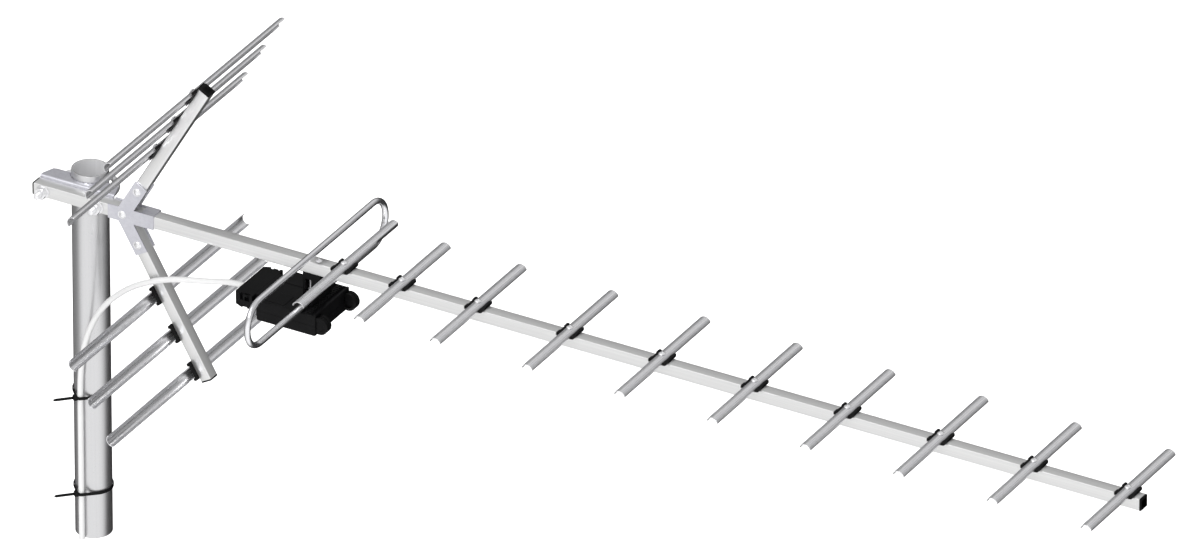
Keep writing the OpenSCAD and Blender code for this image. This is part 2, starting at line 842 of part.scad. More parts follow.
module down_lead() {
  path = concat([for (k = [0 : len(lead_points) - 2], t = [0, 0.5])
    spline(lead_points, k, t)], [lead_points[len(lead_points) - 1]]);
  color(white) swept_tube(path, lead_r, 10);
}

// Seen from the mast: the lead's direction, and how far the tie's straights lie from it.
function tie_way() = atan2(lead_at_mast, lead_x_at_mast);
function tie_side() =
  acos((mast_r + loose - lead_r - snug) / norm([lead_x_at_mast, lead_at_mast]));
function tie_away() = tie_way() - tie_side();

// The loop of a tie round the mast and the lead, grown outwards by g.
function tie_loop(g) =
  let (a = mast_r + loose + g, b = lead_r + snug + g, side = tie_side())
  concat([for (k = [0 : 40]) let (t = tie_way() + side + k * (360 - 2 * side) / 40)
      [a * cos(t), a * sin(t)]],
    [for (k = [0 : 10]) let (t = tie_away() + k * 2 * side / 10)
      [lead_x_at_mast + b * cos(t), lead_at_mast + b * sin(t)]]);

// One tie: its loop, its head beside the lead, and the tail that leaves the head.
module cable_tie(z) {
  out = tie_away();
  head_at = [lead_x_at_mast, lead_at_mast]
    + (lead_r + snug + tie_t / 2) * [cos(out), sin(out)];
  color(plastic) translate([0, 0, z - tie_w / 2]) {
    difference() {
      linear_extrude(tie_w) polygon(tie_loop(tie_t));
      translate([0, 0, -1]) linear_extrude(tie_w + 2) polygon(tie_loop(0));
    }
    translate(head_at) rotate([0, 0, out]) {
      block([-tie_t / 4, -tie_head / 2, -0.8], [tie_head * 0.7, tie_head / 2, tie_w + 0.8]);
      block([0, -tie_t / 2, 0.2], [tie_tail, tie_t / 2, tie_w - 0.2]);
    }
  }
}

mast();
mast_saddle();
u_bolt();
u_bolt_washers();
u_bolt_nuts();
boom();
boom_rear_cap();
boom_front_cap();
reflector_bracket();
boom_rivet();
pivot_rivets();
upper_arm();
upper_arm_cap();
upper_reflector(1);  // upper_reflector_1
upper_reflector(2);  // upper_reflector_2
upper_reflector(3);  // upper_reflector_3
upper_clips();
upper_screws();
lower_arm();
lower_arm_cap();
lower_reflector(1);  // lower_reflector_1
lower_reflector(2);  // lower_reflector_2
lower_reflector(3);  // lower_reflector_3
lower_clips();
lower_screws();
folded_dipole();
terminal_screws();
terminal_nuts();
box_housing();
box_cover();
hinge_pins();
box_screws();
balun_board();
balun_core();
cable_gland();
coax_tail();
cable_clamp();
clamp_screws();
starter_director();
director(1);  // director_1
director(2);  // director_2
director(3);  // director_3
director(4);  // director_4
director(5);  // director_5
director(6);  // director_6
director(7);  // director_7
director(8);  // director_8
director(9);  // director_9
director_clips();
director_screws();
down_lead();
cable_tie(tie_z[0]);  // lower_tie
cable_tie(tie_z[1]);  // upper_tie
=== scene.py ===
import json
import math
import bmesh
import bpy
from mathutils import Matrix, Vector


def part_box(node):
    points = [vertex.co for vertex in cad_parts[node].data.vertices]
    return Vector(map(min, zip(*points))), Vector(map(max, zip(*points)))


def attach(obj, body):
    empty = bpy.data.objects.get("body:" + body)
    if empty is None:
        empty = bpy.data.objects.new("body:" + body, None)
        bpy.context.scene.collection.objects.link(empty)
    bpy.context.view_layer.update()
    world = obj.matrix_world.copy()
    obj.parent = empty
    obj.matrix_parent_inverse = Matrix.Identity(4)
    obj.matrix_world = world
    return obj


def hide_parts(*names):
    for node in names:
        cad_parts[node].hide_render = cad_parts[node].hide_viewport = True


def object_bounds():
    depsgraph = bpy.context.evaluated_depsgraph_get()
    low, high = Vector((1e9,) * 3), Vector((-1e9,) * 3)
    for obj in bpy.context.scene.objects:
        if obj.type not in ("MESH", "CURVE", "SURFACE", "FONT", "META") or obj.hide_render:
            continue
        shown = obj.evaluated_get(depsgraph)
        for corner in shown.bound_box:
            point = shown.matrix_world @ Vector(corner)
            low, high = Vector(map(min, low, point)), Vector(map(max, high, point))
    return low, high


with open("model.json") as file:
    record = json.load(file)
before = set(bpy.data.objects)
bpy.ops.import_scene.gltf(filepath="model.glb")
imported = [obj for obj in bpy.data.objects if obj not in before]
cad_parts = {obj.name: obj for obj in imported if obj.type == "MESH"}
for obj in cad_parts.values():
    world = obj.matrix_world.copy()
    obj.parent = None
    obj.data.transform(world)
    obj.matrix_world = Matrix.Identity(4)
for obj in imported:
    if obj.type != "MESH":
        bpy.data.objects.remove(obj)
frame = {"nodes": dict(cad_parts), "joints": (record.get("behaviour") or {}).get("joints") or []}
cadLow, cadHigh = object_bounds()
joints = {j["name"]: j for j in frame["joints"]}
print("frame loaded:", len(frame["nodes"]), "nodes")


def linked(name, data):
    # a new object in the scene
    thing = bpy.data.objects.new(name, data)
    bpy.context.collection.objects.link(thing)
    return thing


# camera: a long lens, so that the lengths stay in proportion
viewSet = {
    "azimuth": 29.86, "elevation": 29.76, "lens": 790.0, "sensor": 36.0, "clip": (1.0, 400.0),
    "across": 1.3175, "lookAt": (0.67484, -0.03745, 0.53196),
}


def makeCamera():
    a, e = math.radians(viewSet["azimuth"]), math.radians(viewSet["elevation"])
    back = Vector((math.sin(a) * math.cos(e), -math.cos(a) * math.cos(e), math.sin(e)))
    data = bpy.data.cameras.new("camera")
    data.lens, data.sensor_width = viewSet["lens"], viewSet["sensor"]
    data.clip_start, data.clip_end = viewSet["clip"]
    camera = linked("camera", data)
    distance = viewSet["across"] * viewSet["lens"] / viewSet["sensor"]
    camera.location = Vector(viewSet["lookAt"]) + back * distance
    camera.rotation_euler = (-back).to_track_quat("-Z", "Y").to_euler()
    bpy.context.scene.camera = camera


makeCamera()


# small mesh tools

def newMesh(verts, faces):
    mesh = bpy.data.meshes.new("part")
    mesh.from_pydata([tuple(v) for v in verts], [], faces)
    mesh.update()
    return mesh


def moved(mesh, matrix):
    mesh.transform(matrix)
    if matrix.determinant() < 0:
        mesh.flip_normals()
    return mesh


def shifted(mesh, x, y, z):
    return moved(mesh, Matrix.Translation((x, y, z)))


def opened(mesh):
    bm = bmesh.new()
    bm.from_mesh(mesh)
    return bm


def written(bm, mesh=None):
    mesh = mesh or bpy.data.meshes.new("part")
    bm.to_mesh(mesh)
    bm.free()
    return mesh


def joined(meshes):
    bm = bmesh.new()
    for m in meshes:
        bm.from_mesh(m)
    return written(bm)


def cleaned(mesh, merge=1e-6):
    bm = opened(mesh)
    bmesh.ops.remove_doubles(bm, verts=bm.verts, dist=merge)
    bmesh.ops.recalc_face_normals(bm, faces=bm.faces)
    return written(bm, mesh)


def placed(origin, xAxis, zAxis):
    # a matrix from an origin and two axes
    x = Vector(xAxis).normalized()
    z = Vector(zAxis).normalized()
    y = z.cross(x)
    m = Matrix((x, y, z)).transposed().to_4x4()
    m.translation = Vector(origin)
    return m


def lathe(profile, segments=48, closed=False):
    # revolves (radius, height) points about Z
    verts, faces, rings = [], [], []
    for r, z in profile:
        if r < 1e-9:
            rings.append([len(verts)])
            verts.append((0, 0, z))
        else:
            rings.append(list(range(len(verts), len(verts) + segments)))
            for k in range(segments):
                a = 2 * math.pi * k / segments
                verts.append((r * math.cos(a), r * math.sin(a), z))
    pairs = list(zip(rings, rings[1:]))
    if closed:
        pairs.append((rings[-1], rings[0]))
    for p, q in pairs:
        for k in range(segments):
            n = (k + 1) % segments
            if len(p) == 1 and len(q) == 1:
                continue
            if len(p) == 1:
                faces.append((p[0], q[n], q[k]))
            elif len(q) == 1:
                faces.append((p[k], p[n], q[0]))
            else:
                faces.append((p[k], p[n], q[n], q[k]))
    return cleaned(newMesh(verts, faces))


def ringFaces(count, rings, loop=False):
    # the faces between rings that each have the same count of points
    faces = []
    for k in range(rings if loop else rings - 1):
        near, far = k * count, (k + 1) % rings * count
        for j in range(count):
            m = (j + 1) % count
            faces.append((near + j, near + m, far + m, far + j))
    return faces


def ringEnds(count, rings):
    return [tuple(range(count)), tuple(reversed(range((rings - 1) * count, rings * count)))]


def pathFrames(points, up=(0, 0, 1)):
    # frames along a path that turn as little as they can
    pts = [Vector(p) for p in points]
    n = len(pts)
    tangents = [(pts[min(k + 1, n - 1)] - pts[max(k - 1, 0)]).normalized() for k in range(n)]
    side = Vector(up).cross(tangents[0])
    if side.length < 1e-4:
        side = Vector((1, 0, 0)).cross(tangents[0])
    side.normalize()
    frames = []
    for k in range(n):
        t = tangents[k]
        side = (side - t * side.dot(t)).normalized()
        frames.append((pts[k], side, t.cross(side)))
    return frames


def sweep(section, frames, loop=False, capped=True):
    # carries a closed outline of (side, up) points along frames
    verts = [p + side * u + up * v for p, side, up in frames for u, v in section]
    faces = ringFaces(len(section), len(frames), loop)
    if capped and not loop:
        faces += ringEnds(len(section), len(frames))
    return cleaned(newMesh(verts, faces), 1e-7)


def circle(radius, sides):
    return [(radius * math.cos(2 * math.pi * k / sides), radius * math.sin(2 * math.pi * k / sides))
            for k in range(sides)]


def arc(cx, cy, radius, start, end, steps):
    points = []
    for k in range(steps + 1):
        a = math.radians(start + (end - start) * k / steps)
        points.append((cx + radius * math.cos(a), cy + radius * math.sin(a)))
    return points


def roundedRect(w, h, r, steps=5):
    points = []
    for cx, cy, start in ((1, 1, 0), (-1, 1, 90), (-1, -1, 180), (1, -1, 270)):
        points += arc(cx * (w / 2 - r), cy * (h / 2 - r), r, start, start + 90, steps)
    return points


def evaluated(holder):
    # the mesh that an object comes to; the object itself goes
    depsgraph = bpy.context.evaluated_depsgraph_get()
    mesh = bpy.data.meshes.new_from_object(holder.evaluated_get(depsgraph))
    bpy.data.objects.remove(holder)
    return mesh


def plate(loops, low, high, edge):
    # a flat plate from outlines, the first outside and the rest holes, with round edges
    curve = bpy.data.curves.new("plate", "CURVE")
    curve.dimensions = "2D"
    curve.fill_mode = "BOTH"
    for loop in loops:
        spline = curve.splines.new("POLY")
        spline.points.add(len(loop) - 1)
        for p, (x, y) in zip(spline.points, loop):
            p.co = (x, y, 0, 1)
        spline.use_cyclic_u = True
    curve.extrude = (high - low) / 2 - edge
    curve.bevel_depth = edge
    curve.bevel_resolution = 2
    curve.offset = -edge
    mesh = evaluated(linked("plate", curve))
    bpy.data.curves.remove(curve)
    mesh.transform(Matrix.Translation((0, 0, (low + high) / 2)))
    mesh.materials.clear()
    return cleaned(mesh)


def roundedPoly(points, radius, steps=4):
    # an outline with each of its corners rounded
    loop = []
    n = len(points)
    for k in range(n):
        p = Vector(points[k])
        a = Vector(points[k - 1]) - p
        b = Vector(points[(k + 1) % n]) - p
        half = a.angle(b) / 2
        cut = min(radius / math.tan(half), a.length * 0.49, b.length * 0.49)
        a.normalize()
        b.normalize()
        centre = p + (a + b).normalized() * (cut / math.cos(half))
        start, end = p + a * cut - centre, p + b * cut - centre
        turn = math.atan2(start.x * end.y - start.y * end.x, start.dot(end))
        for j in range(steps + 1):
            t = turn * j / steps
            loop.append((centre.x + start.x * math.cos(t) - start.y * math.sin(t),
                         centre.y + start.x * math.sin(t) + start.y * math.cos(t)))
    return loop


def roundBlock(low, high, edge, corner=None):
    mid = [(a + b) / 2 for a, b in zip(low, high)]
    loop = roundedRect(high[0] - low[0], high[1] - low[1], corner or edge * 1.3)
    return plate([[(x + mid[0], y + mid[1]) for x, y in loop]], low[2], high[2], edge)


def bothSides(x, y, z, edge, corner=None):
    # the same rounded block on the near and the far side
    blocks = []
    for s in (-1, 1):
        near, far = sorted((s * y[0], s * y[1]))
        blocks.append(roundBlock((x[0], near, z[0]), (x[1], far, z[1]), edge, corner))
    return blocks


def sliced(mesh, point, normal):
    # keeps what lies behind a plane and closes the cut
    bm = opened(mesh)
    geometry = bm.verts[:] + bm.edges[:] + bm.faces[:]
    cut = bmesh.ops.bisect_plane(bm, geom=geometry, plane_co=point, plane_no=normal, clear_outer=True)
    edges = [e for e in cut["geom_cut"] if isinstance(e, bmesh.types.BMEdge)]
    bmesh.ops.edgenet_fill(bm, edges=edges)
    bmesh.ops.recalc_face_normals(bm, faces=bm.faces)
    return written(bm, mesh)


def blockMesh(low, high):
    bm = bmesh.new()
    size = Vector(high) - Vector(low)
    centre = (Vector(high) + Vector(low)) / 2
    bmesh.ops.create_cube(bm, size=1.0, matrix=Matrix.Translation(centre) @ Matrix.Diagonal((*size, 1)))
    return written(bm)


def combined(base, others, operation="DIFFERENCE"):
    # base cut by, or joined or crossed with, each of the other meshes
    holder = linked("base", base)
    tools = [linked("tool", m) for m in others]
    for tool in tools:
        modifier = holder.modifiers.new("cut", "BOOLEAN")
        modifier.operation = operation
        modifier.object = tool
        modifier.solver = "EXACT"
    mesh = evaluated(holder)
    for tool in tools:
        bpy.data.objects.remove(tool)
    return mesh


def cadMesh(node):
    # a node's own shape with its seams closed and its flat faces whole, to round its edges
    bm = opened(frame["nodes"][node].data)
    bmesh.ops.remove_doubles(bm, verts=bm.verts, dist=2e-6)
    bmesh.ops.dissolve_limit(bm, angle_limit=math.radians(0.8), verts=bm.verts, edges=bm.edges,
                             use_dissolve_boundaries=False, delimit=set())
    bmesh.ops.recalc_face_normals(bm, faces=bm.faces)
    return written(bm)


def addPiece(name, mesh, finish, nodes=(), body="antenna", slot=None, matrix=None, edge=0.0, sharp=32,
             weighted=False):
    # nodes are the ones that the piece takes the place of
    mesh.materials.clear()
    mesh.materials.append(materials[finish])
    mesh.polygons.foreach_set("use_smooth", [True] * len(mesh.polygons))
    mesh.set_sharp_from_angle(angle=math.radians(sharp))
    piece = linked(name, mesh)
    if matrix is not None:
        piece.matrix_world = matrix
    if edge > 0:
        bevel = piece.modifiers.new("edges", "BEVEL")
        bevel.width = edge
        bevel.segments = 2
        bevel.limit_method = "ANGLE"
        bevel.angle_limit = math.radians(sharp)
        bevel.harden_normals = True
        bevel.use_clamp_overlap = True
    if weighted:
        flat = piece.modifiers.new("flat faces", "WEIGHTED_NORMAL")
        flat.keep_sharp = True
    bpy.context.view_layer.update()
    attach(piece, body)
    if nodes:
        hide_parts(*nodes)
    return piece


# materials

def spread(value):
    # one number stands for three equal ones
    return value if isinstance(value, tuple) else (value, value, value)


def fill(tree, node, values):
    # each of a node's inputs gets a plain value or another node's output
    for key, value in values.items():
        if isinstance(value, bpy.types.NodeSocket):
            tree.links.new(value, node.inputs[key])
        else:
            node.inputs[key].default_value = value
    return node


def addNode(tree, kind, values, operation=None):
    node = tree.nodes.new("ShaderNode" + kind)
    if operation:
        node.operation = operation
    return fill(tree, node, values)


def makeMaterial(name, settings):
    mat = bpy.data.materials.new(name)
    mat.use_nodes = True
    tree = mat.node_tree
    place = tree.nodes.new("ShaderNodeTexCoord").outputs["Object"]

    def noise(scale, detail, warp=0.0):
        mapping = addNode(tree, "Mapping", {"Vector": place, "Scale": spread(scale)})
        tex = addNode(tree, "TexNoise", {"Vector": mapping.outputs["Vector"], "Scale": 1.0,
                                         "Detail": detail, "Roughness": 0.6, "Distortion": warp})
        return tex.outputs["Fac"]

    streak = noise(settings["streak"], 5.0, settings.get("warp", 0.0))
    grain = noise(settings["grain"], 3.0)
    ramp = addNode(tree, "ValToRGB", {"Fac": streak})
    for stop, position, key in zip(ramp.color_ramp.elements, (0.3, 0.7), ("second", "colour")):
        stop.position = position
        stop.color = (*spread(settings[key]), 1)
    colour = ramp.outputs["Color"]
    if "fleck" in settings:
        # crystals of zinc: their size and how far their shades differ
        size, depth = settings["fleck"]
        cell = addNode(tree, "TexVoronoi", {"Vector": place, "Scale": size})
        red = addNode(tree, "SeparateColor", {"Color": cell.outputs["Color"]}).outputs["Red"]
        shade = addNode(tree, "MapRange", {"Value": red, "To Min": 1.0 - depth, "To Max": 1.0 + depth})
        mix = tree.nodes.new("ShaderNodeMix")
        mix.data_type = "RGBA"
        mix.blend_type = "MULTIPLY"
        fill(tree, mix, {"Factor": 1.0, "A": colour, "B": shade.outputs["Result"]})
        colour = mix.outputs["Result"]
    smooth, dull = settings["rough"]
    rough = addNode(tree, "MapRange", {"Value": grain, "From Min": 0.25, "From Max": 0.75,
                                       "To Min": smooth, "To Max": dull})
    height = addNode(tree, "Math", {0: streak, 1: settings.get("streakHeight", 0.5), 2: grain},
                     "MULTIPLY_ADD")
    bump = addNode(tree, "Bump", {"Height": height.outputs["Value"], "Strength": settings["bump"],
                                  "Distance": settings.get("depth", 0.0001)})
    bsdf = fill(tree, tree.nodes["Principled BSDF"], {
        "Base Color": colour, "Roughness": rough.outputs["Result"], "Normal": bump.outputs["Normal"],
        "Metallic": settings.get("metallic", 0.0), "Specular IOR Level": settings.get("specular", 0.5)})
    if "coat" in settings:
        fill(tree, bsdf, {"Coat Weight": settings["coat"], "Coat Roughness": 0.2})
    return mat


# colours, how rough, and how fine the streaks and the grain are along each axis
finishes = {
    # drawn tube: fine lines down its length under a dull zinc bloom
    "mastTube": {"slot": "mast_tube", "colour": (0.71, 0.71, 0.72), "second": (0.67, 0.67, 0.68),
                 "metallic": 0.85, "rough": (0.26, 0.34), "streak": (420, 420, 3), "grain": 1400,
                 "bump": 0.035},
    # inside of the tube: a lighter, nearly matte copy of the tube's finish, painted light that lifts the
    # bore where it lies in shade
    "mastBore": {"colour": (0.78, 0.78, 0.79), "second": (0.72, 0.72, 0.73), "metallic": 0.1,
                 "rough": (0.36, 0.5), "streak": (420, 420, 3), "grain": 1400, "bump": 0.05},
    # extruded square tube: die lines along X
    "boomAlloy": {"slot": "boom_alloy", "colour": (0.88, 0.88, 0.875), "second": 0.8,
                  "metallic": 0.84, "rough": (0.28, 0.4), "streak": (4, 620, 620),
                  "grain": (60, 2600, 2600), "bump": 0.14},
    # rolled strip: lines along Y
    "rolledStrip": {"slot": "element_sheet", "colour": (0.97, 0.97, 0.98), "second": (0.76, 0.76, 0.79),
                    "metallic": 0.88, "rough": (0.22, 0.34), "streak": (900, 5, 900),
                    "grain": (2600, 60, 2600), "bump": 0.2},
    "drawnRod": {"slot": "dipole_rod", "colour": (0.95, 0.95, 0.97), "second": (0.83, 0.83, 0.86),
                 "metallic": 0.92, "rough": (0.16, 0.26), "streak": (700, 12, 60), "grain": 1800,
                 "bump": 0.1},
    "zincPlate": {"slot": "zinc_plate", "colour": (0.72, 0.72, 0.77), "second": (0.64, 0.64, 0.7),
                  "metallic": 0.7, "rough": (0.28, 0.42), "streak": 60, "grain": 1500, "warp": 0.6,
                  "fleck": (420, 0.03), "bump": 0.12},
    "brightZinc": {"slot": "bright_steel", "colour": (0.98, 0.98, 0.99), "second": (0.9, 0.9, 0.92),
                   "metallic": 0.6, "rough": (0.24, 0.36), "streak": 300, "grain": 1500, "bump": 0.03},
    "blackMoulding": {"slot": "black_plastic", "colour": (0.005, 0.005, 0.0055),
                      "second": (0.0025, 0.0025, 0.003), "specular": 0.14, "rough": (0.4, 0.56),
                      "streak": 90, "grain": 3200, "bump": 0.35, "depth": 0.00006,
                      "streakHeight": 0.1},
    "blackRubber": {"slot": "black_rubber", "colour": 0.014, "second": 0.008, "rough": (0.6, 0.8),
                    "streak": 120, "grain": 2200, "bump": 0.3},
    "cableJacket": {"slot": "cable_jacket", "colour": 0.97, "second": 0.93, "specular": 0.4,
                    "rough": (0.34, 0.5), "streak": 50, "grain": 1600, "bump": 0.12},
    "foamCore": {"slot": "cable_jacket", "colour": (0.86, 0.86, 0.83), "second": (0.76, 0.76, 0.73),
                 "rough": (0.6, 0.8), "streak": 900, "grain": 4000, "bump": 0.3},
    "copperWire": {"slot": "cable_jacket", "colour": (0.72, 0.36, 0.2), "second": (0.55, 0.24, 0.13),
                   "metallic": 1.0, "rough": (0.2, 0.36), "streak": 500, "grain": 3000, "bump": 0.08},
    "boardGreen": {"slot": "circuit_board", "colour": (0.03, 0.17, 0.07), "second": (0.02, 0.12, 0.05),
                   "coat": 0.3, "rough": (0.35, 0.5), "streak": 400, "grain": 2600, "bump": 0.15},
    "solder": {"slot": "circuit_board", "colour": (0.74, 0.74, 0.76), "second": (0.6, 0.6, 0.62),
               "metallic": 0.95, "rough": (0.22, 0.4), "streak": 700, "grain": 2600, "bump": 0.12},
    "chipBody": {"slot": "circuit_board", "colour": (0.5, 0.3, 0.08), "second": (0.42, 0.24, 0.06),
                 "coat": 0.3, "rough": (0.3, 0.45), "streak": 500, "grain": 2400, "bump": 0.1},
    "ferrite": {"slot": "ferrite", "colour": (0.07, 0.07, 0.075), "second": (0.045, 0.045, 0.05),
                "rough": (0.5, 0.7), "streak": 600, "grain": 3800, "bump": 0.3},
}
materials = {name: makeMaterial(name, settings) for name, settings in finishes.items()}
print("materials:", len(materials))


# floor, lights and sky
stageSet = {
    "floorDepth": 1.5, "floorSize": 60.0, "floorShade": 0.93, "floorGlow": 0.8,
    "sun": 0.8, "sunFrom": (0.1, -0.65, 0.7), "sunSpread": 16,
    "sky": 0.34, "zenith": ((0, 0, 1), 0.35, 0.85, 0.22),   # all round, and more overhead
    # where each lies, how near to it the step starts and ends, and how strong it is
    "lamps": [
        ((0.36, -0.74, -0.57), 0.1, 0.8, 0.74),   # the bright sheet in front, low down
        ((-0.43, -0.5, 0.75), 0.9, 0.96, 1.3),    # a soft box above, for the top edges
        ((0.08, 0.75, 0.65), 0.84, 0.97, 0.2),    # a lamp behind, for the elements' crowns
    ],
    "cards": [                              # dark cards that far edges reflect
        ((0.0, 0.83, -0.55), 0.5, 0.84, 0.97),
        ((-0.6, 0.75, -0.25), 0.76, 0.93, 0.9),
        ((-0.87, -0.15, -0.48), 0.7, 0.94, 0.42),
    ],
}


def makeFloor():
    mat = bpy.data.materials.new("floorPale")
    mat.use_nodes = True
    shade = stageSet["floorShade"]
    fill(mat.node_tree, mat.node_tree.nodes["Principled BSDF"], {
        "Base Color": (shade, shade, shade, 1), "Roughness": 0.9,
        "Emission Color": (1, 1, 1, 1), "Emission Strength": stageSet["floorGlow"]})
    half = stageSet["floorSize"] / 2
    z = cadLow.z - stageSet["floorDepth"]
    mesh = newMesh([(-half, -half, z), (half, -half, z), (half, half, z), (-half, half, z)],
                   [(0, 1, 2, 3)])
    mesh.materials.append(mat)
    floor = linked("floor", mesh)
    floor.visible_glossy = False
    floor.visible_diffuse = False


def makeLight():
    data = bpy.data.lights.new("sun", "SUN")
    data.energy = stageSet["sun"]
    data.angle = math.radians(stageSet["sunSpread"])
    sun = linked("sun", data)
    sun.rotation_euler = Vector(stageSet["sunFrom"]).to_track_quat("Z", "Y").to_euler()
    world = bpy.data.worlds.new("studio")
    bpy.context.scene.world = world
    world.use_nodes = True
    tree = world.node_tree
    place = tree.nodes.new("ShaderNodeTexCoord").outputs["Generated"]

    def towards(direction, start, full, low, high):
        # a soft step from low to high as the sky direction nears the one given
        dot = addNode(tree, "VectorMath", {0: place, 1: Vector(direction).normalized()}, "DOT_PRODUCT")
        step = addNode(tree, "MapRange", {"Value": dot.outputs["Value"], "From Min": start,
                                          "From Max": full, "To Min": low, "To Max": high})
        step.interpolation_type = "SMOOTHSTEP"
        return step.outputs["Result"]

    up, start, full, power = stageSet["zenith"]
    light = towards(up, start, full, stageSet["sky"], stageSet["sky"] + power)
    for direction, start, full, power in stageSet["lamps"]:
        lamp = towards(direction, start, full, 0.0, power)
        light = addNode(tree, "Math", {0: light, 1: lamp}, "ADD").outputs["Value"]
    for direction, start, full, dark in stageSet["cards"]:
        card = towards(direction, start, full, 1.0, 1.0 - dark)
        light = addNode(tree, "Math", {0: light, 1: card}, "MULTIPLY").outputs["Value"]
    path = tree.nodes.new("ShaderNodeLightPath")
    mix = tree.nodes.new("ShaderNodeMix")
    mix.data_type = "RGBA"
    fill(tree, mix, {"Factor": path.outputs["Is Camera Ray"], "A": light, "B": (1, 1, 1, 1)})
    tree.links.new(mix.outputs["Result"], tree.nodes["Background"].inputs["Color"])
    bpy.context.scene.view_settings.view_transform = "Standard"


makeFloor()
makeLight()


# down-lead: from the terminal box, past the lower arm and down the mast
leadSet = {"diameter": 0.0068, "sides": 28, "cutDepth": 0.004}
leadRoute = [
    (0.2465, -0.0365, 0.395), (0.2365, -0.0365, 0.395), (0.2265, -0.0365, 0.395),
    (0.212, -0.037, 0.395), (0.196, -0.039, 0.394), (0.176, -0.043, 0.391),
    (0.152, -0.047, 0.388), (0.128, -0.050, 0.383), (0.104, -0.051, 0.373),
    (0.082, -0.050, 0.360), (0.060, -0.046, 0.341), (0.042, -0.0415, 0.321),
    (0.026, -0.036, 0.297), (0.013, -0.031, 0.270), (0.0045, -0.027, 0.243),
    (0.0, -0.0249, 0.215), (-0.001, -0.0249, 0.190), (-0.001, -0.0249, 0.165),
]
leadRoute += [(-0.001, -0.0249, z) for z in (0.140, 0.112, 0.084, 0.056, 0.028, 0.0)]   # down the mast


def smoothPath(points, steps):
    pts = [Vector(p) for p in points]
    path = []
    for k in range(len(pts) - 1):
        a, b, c, d = pts[max(k - 1, 0)], pts[k], pts[k + 1], pts[min(k + 2, len(pts) - 1)]
        for j in range(steps):
            t = j / steps
            path.append(0.5 * (2 * b + (c - a) * t + (2 * a - 5 * b + 4 * c - d) * t * t
                               + (3 * b - a - 3 * c + d) * t * t * t))
    return path + [pts[-1]]


def pathLength(points):
    return sum((Vector(a) - Vector(b)).length for a, b in zip(points, points[1:]))


def makeLead():
    path = smoothPath(leadRoute, 5)
    radius = leadSet["diameter"] / 2
    tube = sweep(circle(radius, leadSet["sides"]), pathFrames(path), capped=False)
    # the cut end: jacket ring, braid, foam and core
    ring = lathe([(radius, 0.0), (radius * 0.8, 0.0), (radius * 0.8, 0.0006)], leadSet["sides"])
    lead = addPiece("downLead", joined([tube, shifted(ring, *path[-1])]), "cableJacket", ["down_lead"])
    for name, outer, inside, back, finish in (
            ("leadBraid", 0.8, 0.7, 0.0003, "brightZinc"),
            ("leadFoam", 0.7, 0.17, 0.0001, "foamCore"),
            ("leadCore", 0.17, 0.0, 0.0, "copperWire")):
        profile = [(radius * inside, back), (radius * outer, back),
                   (radius * outer, leadSet["cutDepth"]), (radius * inside, leadSet["cutDepth"])]
        layer = shifted(lathe(profile, 24, closed=inside > 0), *path[-1])
        addPiece(name, layer, finish, slot="cable_jacket")
    print("down-lead:", round(pathLength(path), 4), "m")


makeLead()


# mast
mastSet = {"segments": 96, "wall": 0.002, "rim": 0.0004}


def makeMast():
    low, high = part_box("mast")
    outer = (high.x - low.x) / 2
    inner = outer - mastSet["wall"]
    r = mastSet["rim"]
    # each rim's round edge, from the outside to the bore
    rims = [[(outer, z + s * r), (outer - r * 0.3, z + s * r * 0.3), (outer - r, z),
             (inner + r, z), (inner + r * 0.3, z + s * r * 0.3), (inner, z + s * r)]
            for z, s in ((low.z, 1), (high.z, -1))]
    mesh = lathe(rims[0][::-1] + rims[1], mastSet["segments"], closed=True)
    tube = addPiece("mastTube", mesh, "mastTube", ["mast"], "mast", sharp=50)
    # the bore's faces get the lighter copy of the tube's finish: painted light inside the tube
    tube.data.materials.append(materials["mastBore"])
    for face in tube.data.polygons:
        if face.center.xy.length < inner + 0.0002:
            face.material_index = 1


makeMast()


# square tubes: the boom and the two reflector arms
tubeSet = {"corner": 0.0011, "wall": 0.0012}


def squareTube(side, length):
    # along X from 0, centred on Y and Z: out along the outside and back through the bore
    hollow = side - 2 * tubeSet["wall"]
    outer = roundedRect(side, side, tubeSet["corner"], 4)
    inner = roundedRect(hollow, hollow, tubeSet["corner"] * 0.4, 4)
    rings = ((0.0, outer), (length, outer), (length, inner), (0.0, inner))
    verts = [(x, y, z) for x, loop in rings for y, z in loop]
    return cleaned(newMesh(verts, ringFaces(len(outer), len(rings), loop=True)))


boomLow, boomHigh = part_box("boom")
boomMid = (boomLow + boomHigh) / 2
boomSide = boomHigh.z - boomLow.z
armSet = {"lean": 60, "side": 0.0144, "tail": 0.0215, "length": 0.172, "first": 0.0615, "pitch": 0.0478}


def armFrame(name):
    # origin at the arm's pivot, +X to its tip, +Z to the face that carries the reflectors
    up = 1 if name == "upper" else -1
    lean = math.radians(armSet["lean"])
    return placed(joints[name + "_fold"]["pos_m"], (math.cos(lean), 0, up * math.sin(lean)),
                  (-math.sin(lean), 0, up * math.cos(lean)))


def makeTubes():
    mesh = squareTube(boomSide, boomHigh.x - boomLow.x)
    addPiece("boomTube", mesh, "boomAlloy", ["boom"],
             matrix=Matrix.Translation((boomLow.x, boomMid.y, boomMid.z)), sharp=50)
    for name in ("upper", "lower"):
        mesh = shifted(squareTube(armSet["side"], armSet["tail"] + armSet["length"]), -armSet["tail"], 0, 0)
        addPiece(name + "ArmTube", mesh, "boomAlloy", [name + "_arm"], name + "_reflector",
                 matrix=armFrame(name), sharp=50)


makeTubes()


# end caps: a plate with a shallow crown, and a hollow plug inside the tube
capSet = {"thick": 0.002, "plug": 0.007, "edge": 0.0005, "crown": 0.62, "hollow": 0.75}


